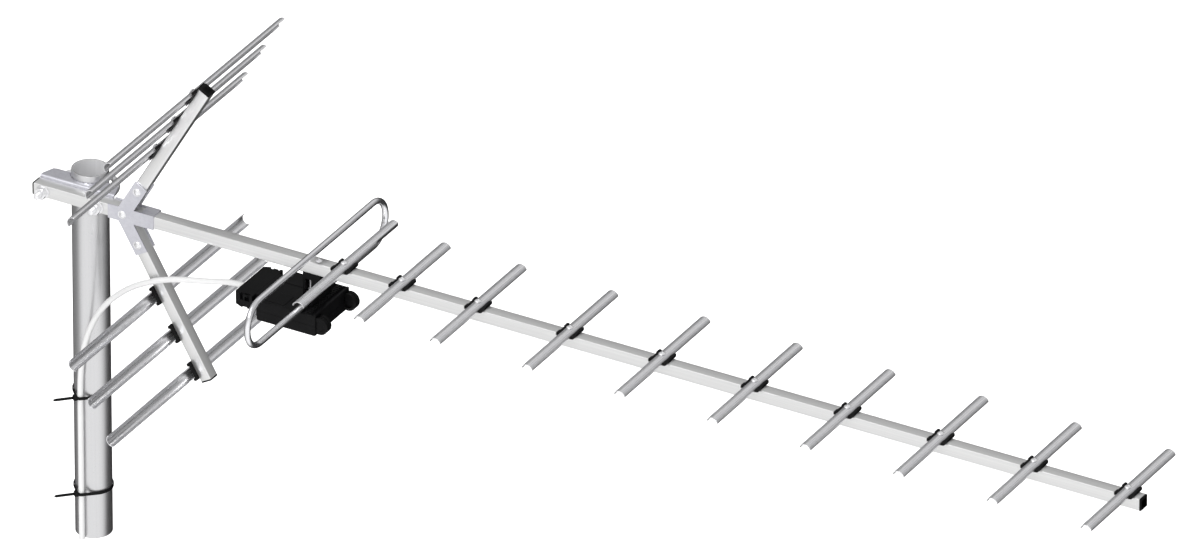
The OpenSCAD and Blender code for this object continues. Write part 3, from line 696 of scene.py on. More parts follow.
def capMesh(side):
    def square(width, corner):
        return roundedRect(width, width, corner)

    thick = capSet["thick"]
    inside = side - 2 * tubeSet["wall"] - 0.0003
    face = plate([square(side, 0.0012)], 0, thick, capSet["edge"])
    crown = plate([square(side * capSet["crown"], 0.001)], thick - 0.0006, thick, 0.0002)
    plug = plate([square(inside, 0.0006), square(inside * capSet["hollow"], 0.0006)],
                 -capSet["plug"], 0.0004, 0.0002)
    return joined([face, crown, plug])


def camel(name):
    first, *rest = name.split("_")
    return first + "".join(word.capitalize() for word in rest)


def makeCaps():
    rows = [(node, boomSide, "antenna", placed((x, boomMid.y, boomMid.z), (0, 0, 1), (way, 0, 0)))
            for node, x, way in (("boom_rear_cap", boomLow.x, -1), ("boom_front_cap", boomHigh.x, 1))]
    for name in ("upper", "lower"):
        tip = armFrame(name) @ placed((armSet["length"], 0, 0), (0, 0, 1), (1, 0, 0))
        rows.append((name + "_arm_cap", armSet["side"], name + "_reflector", tip))
    for node, side, body, matrix in rows:
        addPiece(camel(node), capMesh(side), "blackMoulding", [node], body, matrix=matrix)


makeCaps()
print("tubes and caps made")


# elements: half-round channels of rolled strip
channelSet = {"width": 0.014, "height": 0.006, "wall": 0.001, "pad": 0.0006, "lip": 0.0002,
              "fillet": 0.0014, "skirt": 0.0012, "groove": 0.00022, "grooveSteps": (9, 17, 31, 39)}
directors = 9
starterNotch = {"length": 0.045, "slope": 0.006, "depth": 0.0022}   # its far end is a little narrower


def channelOutline():
    # an arched strip whose two lips turn straight down
    w, h, t, f = (channelSet[k] for k in ("width", "height", "wall", "fillet"))
    x0, z0 = w / 2 - f, channelSet["skirt"]
    low, high = h, 10 * h
    for _ in range(60):
        # the arch whose end meets the lip's bend smoothly
        radius = (low + high) / 2
        if math.hypot(x0, z0 - (h - radius)) + f > radius:
            low = radius
        else:
            high = radius
    cz = h - radius
    lean = math.degrees(math.atan2(x0, z0 - cz))
    crown = arc(0, cz, radius, 90 - lean, 90 + lean, 48)
    for k in channelSet["grooveSteps"]:
        # fine rolled lines down the strip
        x, z = crown[k]
        deep = 1 - channelSet["groove"] / radius
        crown[k] = (x * deep, cz + (z - cz) * deep)
    outer = [(w / 2, 0)] + arc(x0, z0, f, 0, 90 - lean, 6) + crown[1:-1]
    outer += arc(-x0, z0, f, 90 + lean, 180, 6) + [(-w / 2, 0)]
    g = max(f - t, 0.0002)
    inner = [(-w / 2 + t, 0)] + arc(-x0 - f + t + g, z0, g, 180, 90 + lean, 4)
    inner += arc(0, cz, radius - t, 90 + lean, 90 - lean, 20)[1:-1]
    inner += arc(x0 + f - t - g, z0, g, 90 - lean, 0, 4) + [(w / 2 - t, 0)]
    return outer + inner


def channelMesh(start, end, notched):
    # along Y, open below, standing on the clip's pad
    section = channelOutline()
    edge = channelSet["width"] / 2
    stops = [(start, edge), (end, edge)]
    if notched:
        cut = end - starterNotch["length"]
        deep = edge - starterNotch["depth"]
        stops[1:] = [(cut - starterNotch["slope"], edge), (cut, deep), (end, deep)]
    verts = [(min(x, limit), y, z + channelSet["pad"]) for y, limit in stops for x, z in section]
    faces = ringFaces(len(section), len(stops)) + ringEnds(len(section), len(stops))
    return cleaned(newMesh(verts, faces), 1e-8)


def elementSpots():
    # node, body, frame of the seat, start and end along the element
    spots = []
    for name in ["starter_director"] + [f"director_{k + 1}" for k in range(directors)]:
        low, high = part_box(name)
        seat = Matrix.Translation(((low.x + high.x) / 2, boomMid.y, boomHigh.z))
        spots.append((name, "antenna", seat, low.y - boomMid.y, high.y - boomMid.y))
    for side in ("upper", "lower"):
        for k in range(3):
            low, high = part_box(f"{side}_reflector_{k + 1}")
            half = (high.y - low.y) / 2
            seat = armFrame(side) @ Matrix.Translation(
                (armSet["first"] + k * armSet["pitch"], 0, armSet["side"] / 2))
            spots.append((f"{side}_reflector_{k + 1}", side + "_reflector", seat, -half, half))
    return spots


def makeElements():
    for node, body, seat, start, end in elementSpots():
        mesh = channelMesh(start, end, node == "starter_director")
        addPiece(camel(node), mesh, "rolledStrip", [node], body, matrix=seat,
                 edge=channelSet["lip"], sharp=40)


makeElements()


# clips: a pad with a slim bar and two end blocks each side of the element, and a boss inside it
clipSet = {"width": 0.022, "length": 0.026, "lip": 0.0034, "edge": 0.0005, "waist": 0.0009,
           "block": 0.0085, "gap": 0.0003, "boss": 0.0035, "bossTop": 0.0043}


def clipMesh():
    w, length, lip, edge = (clipSet[k] for k in ("width", "length", "lip", "edge"))
    lipWidth = (w - channelSet["width"]) / 2 - clipSet["gap"]
    x = channelSet["width"] / 2 + clipSet["gap"] + lipWidth / 2
    parts = [plate([roundedRect(w, length, 0.003)], 0, channelSet["pad"], 0.00015)]
    for s in (-1, 1):
        waist = clipSet["waist"]
        bar = plate([roundedRect(lipWidth - waist, length - 0.004, 0.0008)], 0.0001, lip - 0.0004, edge)
        parts.append(shifted(bar, s * (x - waist / 2), 0, 0))
        for end in (-1, 1):
            block = plate([roundedRect(lipWidth, clipSet["block"], lipWidth * 0.36)], 0.0001, lip, edge)
            parts.append(shifted(block, s * x, end * (length - clipSet["block"]) / 2, 0))
    r, top = clipSet["boss"], clipSet["bossTop"]
    parts.append(lathe([(0, 0.0001), (r, 0.0001), (r, top - 0.0003), (r - 0.0004, top), (0, top)], 32))
    return joined(parts)


# screws: a pan head with a cross recess
screwSet = {"head": 0.008, "headHeight": 0.002, "shank": 0.004, "length": 0.0118}


def domeProfile(radius, height, steps, z):
    sphere = (radius * radius + height * height) / (2 * height)
    radii = [radius * (1 - k / steps) for k in range(steps + 1)]
    return [(r, z + height - sphere + math.sqrt(sphere * sphere - r * r)) for r in radii]


def screwMesh(head, headHeight, shank, length, pitch=0.0012, unit=1):
    # unit: how many of the caller's units make a metre
    small = 0.0001 * unit
    profile = [(0, -length), (shank * 0.3, -length)]
    for k in range(int((length - small * 10) / pitch)):
        z = -length + small * 6 + k * pitch
        profile += [(shank * 0.42, z), (shank * 0.5, z + pitch * 0.5)]
    profile += [(shank * 0.44, -small * 2), (shank * 0.44, 0.0), (head / 2 - small * 2, 0.0),
                (head / 2, small * 2)]
    profile += domeProfile(head / 2, headHeight - small * 3, 10, small * 3)
    cutters = []
    for a in (30, 120):
        # each arm of the recess narrows towards its foot
        arm = blockMesh((-head * 0.3, -head * 0.075, headHeight * 0.1),
                        (head * 0.3, head * 0.075, headHeight * 1.2))
        bm = opened(arm)
        for v in bm.verts:
            if v.co.z < headHeight * 0.5:
                v.co.x *= 0.5
                v.co.y *= 0.7
        cutters.append(moved(written(bm, arm), Matrix.Rotation(math.radians(a), 4, "Z")))
    return combined(lathe(profile, 40), cutters)


def makeClipsAndScrews():
    clip = clipMesh()
    screw = screwMesh(screwSet["head"], screwSet["headHeight"], screwSet["shank"], screwSet["length"])
    screw = shifted(screw, 0, 0, channelSet["pad"] + channelSet["height"])
    groups = {"director": [], "upper": [], "lower": []}
    for node, body, seat, start, end in elementSpots():
        key = node.split("_")[0]
        groups[key if key in groups else "director"].append(seat)
    for key, seats in groups.items():
        body = "antenna" if key == "director" else key + "_reflector"
        for kind, one, finish in (("clips", clip, "blackMoulding"), ("screws", screw, "brightZinc")):
            mesh = joined([moved(one.copy(), seats[0].inverted() @ seat) for seat in seats])
            addPiece(key + kind.capitalize(), mesh, finish, [key + "_" + kind], body, matrix=seats[0])


makeClipsAndScrews()
print("elements, clips and screws made")


# rivets: domed heads on both cheeks, each with the small pit that the setting tool leaves
rivetSet = {"dome": 0.0044, "height": 0.0022, "pit": 0.0009, "flange": 0.005, "shank": 0.0025}


def rivetMesh(width):
    half = width / 2
    pit, flange, shank = (rivetSet[k] for k in ("pit", "flange", "shank"))
    dome = domeProfile(rivetSet["dome"], rivetSet["height"], 12, half)
    head = [p for p in dome if p[0] > pit * 1.5]
    head += [(pit * 1.35, half + 0.0021), (pit, half + 0.0017), (pit * 0.8, half + 0.0008),
             (0, half + 0.0006)]
    middle = [(flange, -half - 0.0003), (flange, -half), (shank, -half), (shank, half),
              (flange, half), (flange, half + 0.0003)]
    return lathe([(r, -z) for r, z in reversed(head)] + middle + head, 40)


def makeRivets():
    for node in ("boom_rivet", "pivot_rivets"):
        low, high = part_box(node)
        width = high.y - low.y - 2 * rivetSet["height"]
        r = rivetSet["flange"]
        heights = [(low.z + high.z) / 2] if node == "boom_rivet" else [low.z + r, high.z - r]
        parts = [moved(rivetMesh(width), placed(((low.x + high.x) / 2, boomMid.y, z), (1, 0, 0), (0, -1, 0)))
                 for z in heights]
        addPiece(camel(node), joined(parts), "brightZinc", [node])


makeRivets()

# folded plates: the reflector bracket and the mast saddle
for plateNode, plateEdge in (("reflector_bracket", 0.0003), ("mast_saddle", 0.0002)):
    addPiece(camel(plateNode), cadMesh(plateNode), "zincPlate", [plateNode], edge=plateEdge)


def hexNut(flats, height, bore, chamfer, mouth, above, deep):
    # about Z from 0; the bore's mouth opens as a cone from deep inside to above the face
    corner = flats / math.sqrt(3)
    hexagon = lathe([(0, 0), (corner, 0), (corner, height), (0, height)], 6)
    cone = lathe([(0, 0), (flats * 0.49, 0), (corner, chamfer), (corner, height - chamfer),
                  (flats * 0.49, height), (0, height)], 64)
    hole = lathe([(0, -above), (mouth, -above), (bore, deep), (bore, height - deep),
                  (mouth, height + above), (0, height + above)], 48)
    return combined(combined(hexagon, [cone], "INTERSECT"), [hole])


# U-bolt with cut threads, washers and nuts
boltSet = {"rod": 0.007, "pitch": 0.00125, "depth": 0.00065, "threaded": 0.03}


def threadMesh(radius, length, pitch, depth, sides=32, perTurn=8):
    # along Z from 0, with a round nose at the far end
    rings = int(length / pitch * perTurn)
    verts = []
    for k in range(rings + 1):
        z = length * k / rings
        taper = min(1.0, (length - z) / 0.0008 + 0.55)
        for j in range(sides):
            phase = (z / pitch - j / sides) % 1.0
            r = (radius - depth * abs(2 * phase - 1)) * taper
            a = 2 * math.pi * j / sides
            verts.append((r * math.cos(a), r * math.sin(a), z))
    ends = [face[::-1] for face in ringEnds(sides, rings + 1)]
    return newMesh(verts, ringFaces(sides, rings + 1) + ends)


def makeBolt():
    low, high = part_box("u_bolt")
    radius = boltSet["rod"] / 2
    legX = high.x - radius
    bend = high.y - radius - legX
    z = boomMid.z
    plain = low.y + boltSet["threaded"]
    turn = [math.pi * (1 - k / 48) for k in range(49)]
    path = [(-legX, plain, z)] + [(legX * math.cos(a), bend + legX * math.sin(a), z) for a in turn]
    path += [(legX, plain, z)]
    rod = sweep(circle(radius, 32), pathFrames(path))

    def onLegs(mesh, y):
        # a copy on each leg, its height towards the near side
        return [moved(mesh.copy(), placed((s * legX, y, z), (1, 0, 0), (0, -1, 0))) for s in (-1, 1)]

    thread = threadMesh(radius, boltSet["threaded"], boltSet["pitch"], boltSet["depth"])
    addPiece("uBolt", joined([rod, *onLegs(thread, plain)]), "brightZinc", ["u_bolt"], sharp=40)

    low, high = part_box("u_bolt_washers")
    r = (high.z - low.z) / 2
    t = high.y - low.y
    c = 0.0003
    ring = [(r - c, 0), (r, c), (r, t - c), (r - c, t), (0.0042, t), (0.0038, t - c), (0.0038, c),
            (0.0042, 0)]
    addPiece("uBoltWashers", joined(onLegs(lathe(ring, 48, closed=True), high.y)), "brightZinc",
             ["u_bolt_washers"], sharp=50)

    low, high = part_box("u_bolt_nuts")
    nut = hexNut(high.z - low.z, high.y - low.y, radius, 0.0011, 0.0042, 0.001, 0.0006)
    addPiece("uBoltNuts", joined(onLegs(nut, high.y)), "brightZinc", ["u_bolt_nuts"], sharp=25)


makeBolt()
print("clamp made")


# folded dipole: one rod bent into a long loop, its two ends in the box
dipoleSet = {"gap": 0.014, "step": 4}


def makeDipole():
    low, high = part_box("folded_dipole")
    radius = (high.x - low.x) / 2
    x, z = (low.x + high.x) / 2, (low.z + high.z) / 2
    bend = (high.z - low.z) / 2 - radius
    half = (high.y - low.y) / 2 - radius - bend
    gap = dipoleSet["gap"]
    path = [(x, boomMid.y + gap, z - bend)]
    for s, start in ((1, -90), (-1, 90)):
        for a in range(start, start + 181, dipoleSet["step"]):
            path.append((x, boomMid.y + s * half + bend * math.cos(math.radians(a)),
                         z + bend * math.sin(math.radians(a))))
    path.append((x, boomMid.y - gap, z - bend))
    mesh = sweep(circle(radius, 32), pathFrames(path, up=(1, 0, 0)))
    addPiece("dipoleRod", mesh, "drawnRod", ["folded_dipole"], sharp=50)


makeDipole()


# cable ties: a toothed band, its head and its loose tail
tieSet = {"thick": 0.0013, "width": 0.0036, "tail": 0.027, "head": 0.006, "tailStep": 0.0012,
          "tooth": 0.0009, "mastRadius": 0.0215, "clear": 0.0001}


def bandPoints(z):
    # round the mast and the lead beside it, and where the head stands
    mastR = tieSet["mastRadius"] + tieSet["thick"] / 2
    leadR = leadSet["diameter"] / 2 + tieSet["clear"] + tieSet["thick"] / 2
    lead = Vector(leadRoute[-1]).xy
    way = math.atan2(lead.y, lead.x)
    side = math.acos((mastR - leadR) / lead.length)
    points = []
    for centre, radius, start, turn, steps in (
            (Vector((0, 0)), mastR, way + side, 2 * math.pi - 2 * side, 64),
            (lead, leadR, way - side, 2 * side, 12)):
        for k in range(steps + 1):
            a = start + k * turn / steps
            points.append(Vector((centre.x + math.cos(a) * radius, centre.y + math.sin(a) * radius, z)))
    out = Vector((math.cos(way - side), math.sin(way - side)))
    at = lead + out * leadR
    return points, placed((at.x, at.y, z), (out.x, out.y, 0), (0, 0, 1))


def tieMesh(node):
    low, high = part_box(node)
    loop, seat = bandPoints((low.z + high.z) / 2)
    frames = []
    for k, p in enumerate(loop):
        t = (loop[(k + 1) % len(loop)] - loop[k - 1]).normalized()
        frames.append((p, t.cross(Vector((0, 0, 1))), Vector((0, 0, 1))))
    width, thick, wide = tieSet["width"], tieSet["thick"], tieSet["head"] / 2
    band = sweep(roundedRect(thick, width, 0.0004, 3), frames, loop=True)
    head = combined(blockMesh((-0.0003, -wide, -width / 2 - 0.0008), (wide * 1.4, wide, width / 2 + 0.0008)),
                    [blockMesh((0.0012, -0.0016, -width / 2), (0.01, 0.0016, width / 2))])
    # the tail narrows over its last two steps
    steps = int(tieSet["tail"] / tieSet["tailStep"])
    tapers = [1.0] * (steps - 1) + [0.75, 0.35]
    w, t = (width - 0.0004) / 2, (thick - 0.0003) / 2
    strap = []
    for k, taper in enumerate(tapers):
        x = tieSet["tail"] * k / steps
        strap += [(x, y, z * taper) for y, z in ((-t, -w), (t, -w), (t, w), (-t, w))]
    parts = [head, cleaned(newMesh(strap, ringFaces(4, steps + 1) + ringEnds(4, steps + 1)))]
    for k in range(int((tieSet["tail"] - 0.008) / tieSet["tooth"])):
        x = 0.0045 + k * tieSet["tooth"]
        parts.append(blockMesh((x, t - 0.0001, -w * 0.66), (x + 0.0005, t + 0.00015, w * 0.66)))
    return joined([band] + [moved(part, seat) for part in parts])


for tieNode in ("upper_tie", "lower_tie"):
    addPiece(camel(tieNode), tieMesh(tieNode), "blackMoulding", [tieNode], edge=0.00015, sharp=40)
print("dipole and ties made")


# terminal box, drawn in millimetres in its own frame and then scaled
boxSet = {
    "halfWidth": 38.5, "front": 20.0, "rear": -56.0, "parting": -12.7, "floor": -25.4, "wall": 2.0,
    "entryRear": -86.5, "entryHalf": 34.5, "entryFloor": -17.0, "entryCut": (9.0, 4.0),
    "waistRear": -63.0, "waistHalf": 26.0, "edge": 1.3, "corner": 2.4, "seam": 0.3,
    "barrel": 10.5, "barrelEnds": (36.0, 31.0, 26.0), "hinge": (24.0, -12.7),
    "ribPitch": 3.72, "ribs": 9, "leadDrop": 11.2, "rodHole": 3.85, "rodHeight": 4.05,
}


def boxPlace():
    pin = Vector(joints["cover_hinge"]["pos_m"])
    origin = pin - Vector((boxSet["hinge"][0], 0, boxSet["hinge"][1])) * 0.001
    return Matrix.Translation(origin) @ Matrix.Scale(0.001, 4)


def alongY(mesh, x, z, side=1):
    # turns a shape made about Z so that its height runs out along Y
    return moved(mesh, placed((x, 0, z), (1, 0, 0), (0, side, 0)))


def alongX(mesh, x, y, z):
    return moved(mesh, placed((x, y, z), (0, 0, 1), (1, 0, 0)))


def rodX(radius, x0, x1, y, z, sides=32):
    return alongX(lathe([(0, 0), (radius, 0), (radius, x1 - x0), (0, x1 - x0)], sides), x0, y, z)


def rodZ(radius, z0, z1, x, y, sides=32):
    rod = lathe([(0, z0), (radius, z0), (radius, z1), (0, z1)], sides)
    return moved(rod, Matrix.Translation((x, y, 0)))


def barrelMesh(near, far, radius, side, cup=0.0, dish=0.0):
    # one hinge barrel, its near end towards the middle
    e = 0.7
    inner, outer = [(0, near)], [(0, far)]
    if cup:
        inner = [(0, near + cup), (radius * 0.62, near + cup), (radius * 0.66, near)]
    if dish:
        outer = [(radius * 0.6, far), (radius * 0.55, far - dish), (0, far - dish)]
    body = [(radius - e, near), (radius - e * 0.3, near + e * 0.3), (radius, near + e),
            (radius, far - e), (radius - e * 0.3, far - e * 0.3), (radius - e, far)]
    return alongY(lathe(inner + body + outer, 72), *boxSet["hinge"], side)


def slotMesh(radius, near, far, side, x, z, sides=72):
    # a plain cylinder along Y that cuts a gap or a hole
    return alongY(lathe([(0, near), (radius, near), (radius, far), (0, far)], sides), x, z, side)


def housingMesh():
    b = boxSet
    half, wall, drop = b["halfWidth"], b["wall"], b["leadDrop"]
    outEnd, midEnd, inEnd = b["barrelEnds"]
    cutX, cutY = b["entryCut"]
    rear, e, w = b["entryRear"], b["entryHalf"], b["waistHalf"]
    main = roundBlock((b["rear"], -half, b["parting"] - 4), (b["front"], half, 0), b["edge"], b["corner"])
    main = sliced(main, (0, 0, b["parting"]), (0, 0, -1))
    outline = [(b["waistRear"], -e), (b["waistRear"], e), (rear + cutX, e), (rear, e - cutY),
               (rear, cutY - e), (rear + cutX, -e)]
    adds = [
        plate([roundedPoly(outline, 1.2)], b["entryFloor"], 0, 0.7),
        roundBlock((b["waistRear"] - 2, -w, b["entryFloor"]), (b["rear"] + 2, w, -0.3), 0.7),
        roundBlock((-14, -7.5, -2), (8, 7.5, 32.8), 0.6, 1.3),      # post under the boom
        roundBlock((-7, -22, -2), (7, 22, 8.5), 0.8, 1.4),          # block that holds the dipole
        roundBlock((17.3, 1.5 - half, -1.5), (b["front"], half - 1.5, 1.1), 0.5, 0.8),
        roundBlock((-50, -34, -1), (-22, -11, 0.5), 0.3, 2),
        roundBlock((-50, 11, -1), (-22, 34, 0.5), 0.3, 2),
    ]
    adds += [barrelMesh(midEnd, outEnd, b["barrel"], s, dish=0.6) for s in (-1, 1)]
    cuts = [
        roundBlock((b["rear"] + wall, wall - half, b["parting"] - 6), (b["front"] - wall, half - wall, -2),
                   0.8, 1.2),
        roundBlock((rear + wall, wall - w, wall + b["entryFloor"]), (b["rear"] + wall + 1.5, w - wall, -2),
                   0.6, 1.0),
        rodX(4.7, rear - 1, rear + 3.2, 0, -drop),
        roundBlock((13.6, 3 - half, -1.3), (17.0, half - 3, 3), 0.3, 0.5),
        roundBlock((-11, -9, 9), (-3, 4, 25), 0.4, 0.8),
    ]
    for s in (-1, 1):
        cuts.append(slotMesh(11, inEnd - b["seam"], midEnd, s, *b["hinge"]))
        cuts.append(slotMesh(b["rodHole"], 12, 24, s, 0, b["rodHeight"], 32))
    # the catch in each side of the entry block
    cuts += bothSides((-78.5, -66.5), (e + 2, e - 4), (-7.5, 2), 0.3, 0.6)
    cuts += bothSides((-76, -69.5), (e + 2, e - 2.5), (-20, -15.4), 0.3, 0.6)
    extras = bothSides((-75, -72.8), (e - 0.4, e - 4.2), (-8, -1.2), 0.3, 0.4)
    extras += bothSides((-75, -68.9), (e - 0.1, e - 2.2), (-2.8, -1.0), 0.3, 0.4)
    for k in range(-b["ribs"], b["ribs"] + 1):
        y = k * b["ribPitch"]
        extras.append(roundBlock((7.4, y - 0.95, -0.5), (13.2, y + 0.95, 1.5), 0.35, 0.5))
    for s in (-1, 1):
        # posts for the clamp's and the terminals' screws, and thin ribs inside the walls
        extras.append(rodZ(2.8, -drop - 3.5, -1.5, b["rear"] + 6, s * 7))
        extras.append(rodZ(3.4, -5.0, -1.5, 0, s * 17))
        for x in (-44, -28, -12, 8):
            near, far = sorted((s * (half - wall + 0.2), s * (half - wall - 3)))
            extras.append(blockMesh((x - 0.6, near, b["parting"] + 0.5), (x + 0.6, far, -1.8)))
    return joined([combined(combined(main, adds, "UNION"), cuts)] + extras)


def coverMesh():
    b = boxSet
    half, wall, rear, floor, seam = b["halfWidth"], b["wall"], b["rear"] + b["seam"], b["floor"], b["seam"]
    outEnd, midEnd, inEnd = b["barrelEnds"]
    top = b["parting"] - seam
    body = roundBlock((rear, -half, floor), (b["front"], half, top + 4), b["edge"], b["corner"])
    body = sliced(body, (0, 0, top), (0, 0, 1))
    cuts = [
        roundBlock((rear + wall, wall - half, floor + wall), (b["front"] - wall, half - wall, 0), 0.8, 1.2),
        blockMesh((rear - 1, -4.4, -15.6), (rear + wall + 1, 4.4, 0)),
        roundBlock((-48, -31, floor - 1), (12, 31, floor + 0.6), 0.3, 3),
        rodZ(1.6, floor - 1, floor + 4, -50, 0),
        rodZ(1.6, floor - 1, floor + 4, 14.5, 0),
    ]
    cuts += [slotMesh(11, midEnd - seam, outEnd + seam, s, *b["hinge"]) for s in (-1, 1)]
    # hooks that spring into the waist, and ribs on the floor
    extras = bothSides((-60.5, -58), (26.5, 30), (floor, -3), 0.4)
    extras += bothSides((-60.5, rear + 1.5), (26.5, 30), (floor, floor + 3), 0.4)
    extras += bothSides((-61.2, -58), (27.2, 30), (-5.5, -3.4), 0.4)
    for s in (-1, 1):
        barrel = barrelMesh(inEnd, midEnd - seam, b["barrel"], s, cup=2.2)
        extras.append(sliced(barrel, (b["front"] - wall - 0.3, 0, 0), (-1, 0, 0)))
    for k in range(-5, 6):
        extras.append(roundBlock((-44, k * 5 - 0.6, floor + 0.1), (8, k * 5 + 0.6, floor + 0.8), 0.25, 0.5))
    for x in (-40, -15, 8):
        extras.append(blockMesh((x - 0.5, wall - half - 0.2, floor + 1.8),
                                (x + 0.5, half - wall + 0.2, floor + 3.6)))
    return joined([combined(body, cuts)] + extras)


def pinMesh():
    outEnd, midEnd, inEnd = boxSet["barrelEnds"]
    profile = [(0, inEnd + 2.6), (1.6, inEnd + 2.6), (2.0, inEnd + 3.0), (2.0, outEnd - 1.4),
               (1.6, outEnd - 1.0), (0, outEnd - 1.0)]
    return joined([alongY(lathe(profile, 32), *boxSet["hinge"], s) for s in (-1, 1)])


def addBoxPiece(node, mesh, finish, **choices):
    # a mesh in the box's millimetres, named after its node if it stands for one
    mesh.transform(Matrix.Scale(0.001, 4))
    name = choices.pop("name", camel(node))
    addPiece(name, mesh, finish, [node] if node else [], matrix=Matrix.Translation(boxPlace().translation),
             **choices)


addBoxPiece("box_housing", housingMesh(), "blackMoulding", sharp=35, weighted=True)
addBoxPiece("box_cover", coverMesh(), "blackMoulding", body="cover", sharp=35, weighted=True)
addBoxPiece("hinge_pins", pinMesh(), "brightZinc", sharp=35, weighted=True)


# what is inside the box, in the same frame
insideSet = {
    "board": (-36.0, 7.0, 22.0), "boardZ": (-6.6, -5.0), "holes": (-31, -26, -10, -3),
    "terminalY": 17.0, "blockTop": 8.5, "coreX": -18.0, "core": (2.6, 6.0, 5.0), "turns": 9,
    "wire": 0.35, "lead": 3.4, "clampX": -50.0, "clampY": 7.0, "tail": (-66.5, -44.0, -38.0, -26.0),
    "boomScrew": (3.0, 47.8), "postScrew": (-7.0, 10.0), "screwReach": 27.0,
}


def wireMesh(points, radius, sides=12):
    return sweep(circle(radius, sides), pathFrames(smoothPath(points, 4), up=(0.1, 0.2, 1)))


def paired(mesh, x, y, z, down=False):
    # one copy each side, upright or upside down
    turn = placed((0, 0, 0), (1, 0, 0), (0, 0, -1 if down else 1))
    return joined([moved(mesh.copy(), Matrix.Translation((x, s * y, z)) @ turn) for s in (-1, 1)])


def roundHoles(radius, sides, places):
    return [[(x + cx, y + cy) for x, y in circle(radius, sides)] for cx, cy in places]


def boardMesh():
    n = insideSet
    x0, x1, half = n["board"]
    outline = [(x + (x0 + x1) / 2, y) for x, y in roundedRect(x1 - x0, half * 2, 1.5)]
    holes = roundHoles(1.6, 32, [(0, -n["terminalY"]), (0, n["terminalY"])])
    holes += roundHoles(0.45, 16, [(x, y) for x in n["holes"] for y in (-9, 9)])
    return plate([outline, *holes], *n["boardZ"], 0.12)


def tracksMesh():
    # copper on the board's lower face: pads round the holes and runs between them
    n = insideSet
    low = n["boardZ"][0]
    parts = [paired(plate([circle(3.0, 40), circle(1.65, 40)], low - 0.12, low + 0.02, 0.03),
                    0, n["terminalY"], 0)]
    runs = [((-3, 9), (-1.2, 14.4)), ((-10, 9), (-3, 9)), ((-31, 9), (-26, 9)), ((-31, 9), (-33, 3)),
            ((-26, 9), (-24.6, 2.4))]
    for (ax, ay), (bx, by) in runs:
        for s in (-1, 1):
            length = math.hypot(bx - ax, by - ay)
            bar = plate([roundedRect(length + 1.3, 1.3, 0.6)], low - 0.1, low + 0.02, 0.03)
            m = Matrix.Rotation(math.atan2(s * (by - ay), bx - ax), 4, "Z")
            m.translation = ((ax + bx) / 2, s * (ay + by) / 2, 0)
            parts.append(moved(bar, m))
    for x in n["holes"]:
        # solder stands up in a small cone on each joint
        cone = lathe([(0, -1.0), (0.3, -0.9), (0.5, -0.5), (1.0, -0.12), (1.1, 0.02), (0, 0.02)], 24)
        parts.append(paired(cone, x, 9, low))
    return joined(parts)


def chipsMesh():
    # two disc capacitors and two small blocks on the board
    low = insideSet["boardZ"][0]
    block = roundBlock((-8.4, -1.3, low - 1.3), (-4.6, 1.3, low), 0.25, 0.4)
    disc = lathe([(0, -1.1), (2.2, -1.0), (2.9, -0.4), (2.9, 0.4), (2.2, 1.0), (0, 1.1)], 32)
    disc = moved(disc, placed((0, 0, 0), (1, 0, 0), (0, 1, 0)))
    return joined([paired(block, 0, 9, 0), paired(disc, -28.5, 9, low - 3.0)])


def windingMesh():
    # wire wound through the ferrite ring, with its two ends led to the board
    n = insideSet
    inner, outer, height = n["core"]
    top, r = n["boardZ"][0] - 0.05, n["wire"]
    foot = top - height - r
    turn = [(inner - r, top - r), (inner - r, foot), (inner + 0.4, foot - r), (outer - 0.4, foot - r),
            (outer + r, foot), (outer + r, top - r)]
    parts = []
    for k in range(n["turns"]):
        a = math.radians(40 + k * 280 / (n["turns"] - 1))
        loop = [(n["coreX"] + radial * math.cos(a), radial * math.sin(a), z) for radial, z in turn]
        parts.append(wireMesh(loop, r))
    for s in (-1, 1):
        a = math.radians(s * 40)
        x, y = n["coreX"] + (outer + r) * math.cos(a), (outer + r) * math.sin(a)
        parts.append(wireMesh([(x, y, top - 1.5), (x + 1.6, y + s * 1.2, top - 1.6),
                               (-10.6, s * 7.6, top - 1.2), (-10, s * 9, top - 0.3)], r))
    return joined(parts)


def clampMesh(z):
    # a pressed saddle strip with a stiffening bead
    n = insideSet
    holes = roundHoles(1.6, 32, [(0, -n["clampY"]), (0, n["clampY"])])
    strip = plate([roundedRect(6.0, 21.0, 2.4), *holes], z - 1.2, z, 0.25)
    bead = roundBlock((-1.1, -4.2, z - 1.9), (1.1, 4.2, z - 1.0), 0.35, 0.9)
    return shifted(joined([strip, bead]), n["clampX"], 0, 0)


def glandMesh():
    # a ribbed grommet in the entry's rear wall
    r = insideSet["lead"] + 0.05
    steps = [(0, -2.5), (0.9, -2.5), (1.5, -2.2), (2.0, -1.6), (2.0, -1.0), (1.7, -0.8), (1.7, -0.6),
             (2.0, -0.4), (2.0, 0.0), (1.2, 0.0), (1.2, 2.7), (0.9, 3.0), (0, 3.0)]
    return alongX(lathe([(r + out, x) for out, x in steps], 48, closed=True), boxSet["entryRear"], 0,
                  -boxSet["leadDrop"])


def coreMesh():
    inner, outer, height = insideSet["core"]
    c = 0.4
    profile = [(outer - c, 0), (outer, -c), (outer, c - height), (outer - c, -height),
               (inner + c, -height), (inner, c - height), (inner, -c), (inner + c, 0)]
    return shifted(lathe(profile, 64, closed=True), insideSet["coreX"], 0, insideSet["boardZ"][0])


def boxScrewsMesh():
    n = insideSet
    (topX, topZ), (postX, postZ) = n["boomScrew"], n["postScrew"]
    top = screwMesh(8.0, 2.0, 4.0, n["screwReach"], 1.2, 1000)
    post = screwMesh(7.0, 1.0, 4.0, n["screwReach"], 1.2, 1000)
    post = moved(post, placed((postX, 0, postZ), (1, 0, 0), (0, 0, -1)))
    return joined([shifted(top, topX, 0, topZ), post])


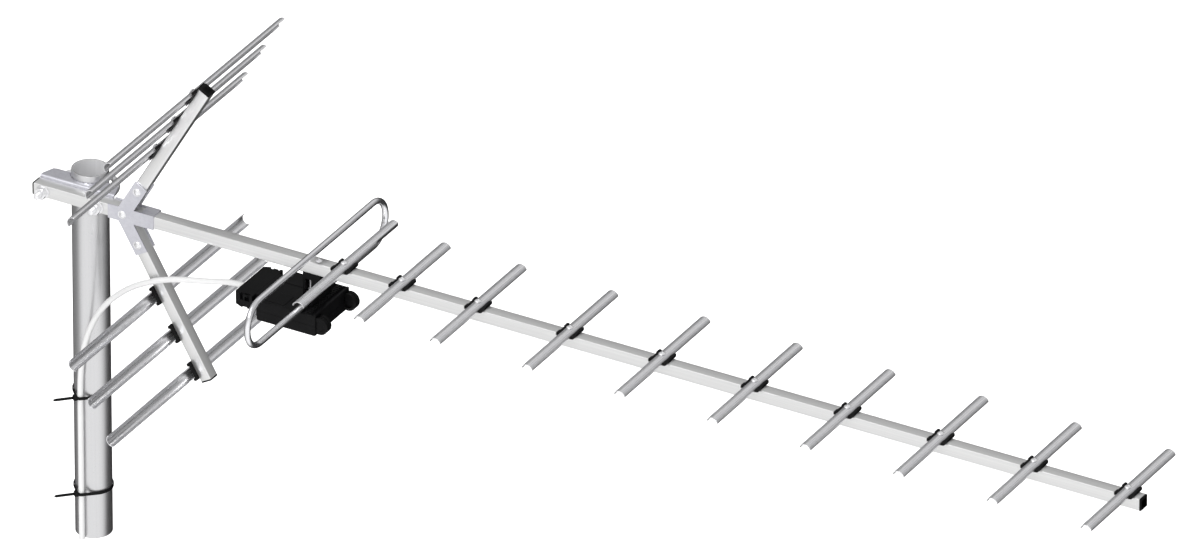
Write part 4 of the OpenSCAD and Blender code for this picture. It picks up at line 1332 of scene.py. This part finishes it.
def addTail():
    # the stripped end: jacket, folded braid, foam and core
    start, stripped, bare, tip = insideSet["tail"]
    lead = insideSet["lead"]
    for name, finish, back, front, r, tipR, c in (
            ("coaxJacket", "cableJacket", start, stripped, lead, lead - 0.2, 0.2),
            ("coaxBraid", "brightZinc", stripped, stripped + 2.8, 2.3, 2.0, 0.2),
            ("coaxFoam", "foamCore", stripped, bare, 1.9, 1.8, 0.1),
            ("coaxCore", "copperWire", bare, tip, 0.5, 0.3, 0.2)):
        profile = [(0, back), (r, back), (r, front - c), (tipR, front), (0, front)]
        mesh = alongX(lathe(profile, 32), 0, 0, -boxSet["leadDrop"])
        addBoxPiece("coax_tail" if name == "coaxJacket" else "", mesh, finish, name=name,
                    slot="cable_jacket", sharp=38)


def makeInside():
    n = insideSet
    clampZ = -boxSet["leadDrop"] - n["lead"] - 0.1
    terminal = screwMesh(6.0, 1.8, 3.0, 18.5, 0.8, 1000)
    nut = hexNut(5.36, 2.4, 1.55, 0.3317, 1.86, 0.558, 0.2635)
    clampScrew = screwMesh(5.6, 1.7, 3.0, 8.0, 0.8, 1000)
    for node, mesh, finish in (
            ("box_screws", boxScrewsMesh(), "brightZinc"),
            ("terminal_screws", paired(terminal, 0, n["terminalY"], n["blockTop"]), "brightZinc"),
            ("terminal_nuts", paired(nut, 0, n["terminalY"], n["boardZ"][0] - 2.4), "brightZinc"),
            ("clamp_screws", paired(clampScrew, n["clampX"], n["clampY"], clampZ - 1.2, down=True),
             "brightZinc"),
            ("cable_clamp", clampMesh(clampZ), "zincPlate"),
            ("balun_board", boardMesh(), "boardGreen"),
            ("balun_core", coreMesh(), "ferrite"),
            ("cable_gland", glandMesh(), "blackRubber")):
        addBoxPiece(node, mesh, finish, sharp=38)
    for name, mesh, finish, slot in (
            ("boardTracks", tracksMesh(), "solder", "circuit_board"),
            ("boardChips", chipsMesh(), "chipBody", "circuit_board"),
            ("coreWinding", windingMesh(), "copperWire", "ferrite")):
        addBoxPiece("", mesh, finish, name=name, slot=slot, sharp=38)
    addTail()


makeInside()
print("box made")

bpy.context.view_layer.update()
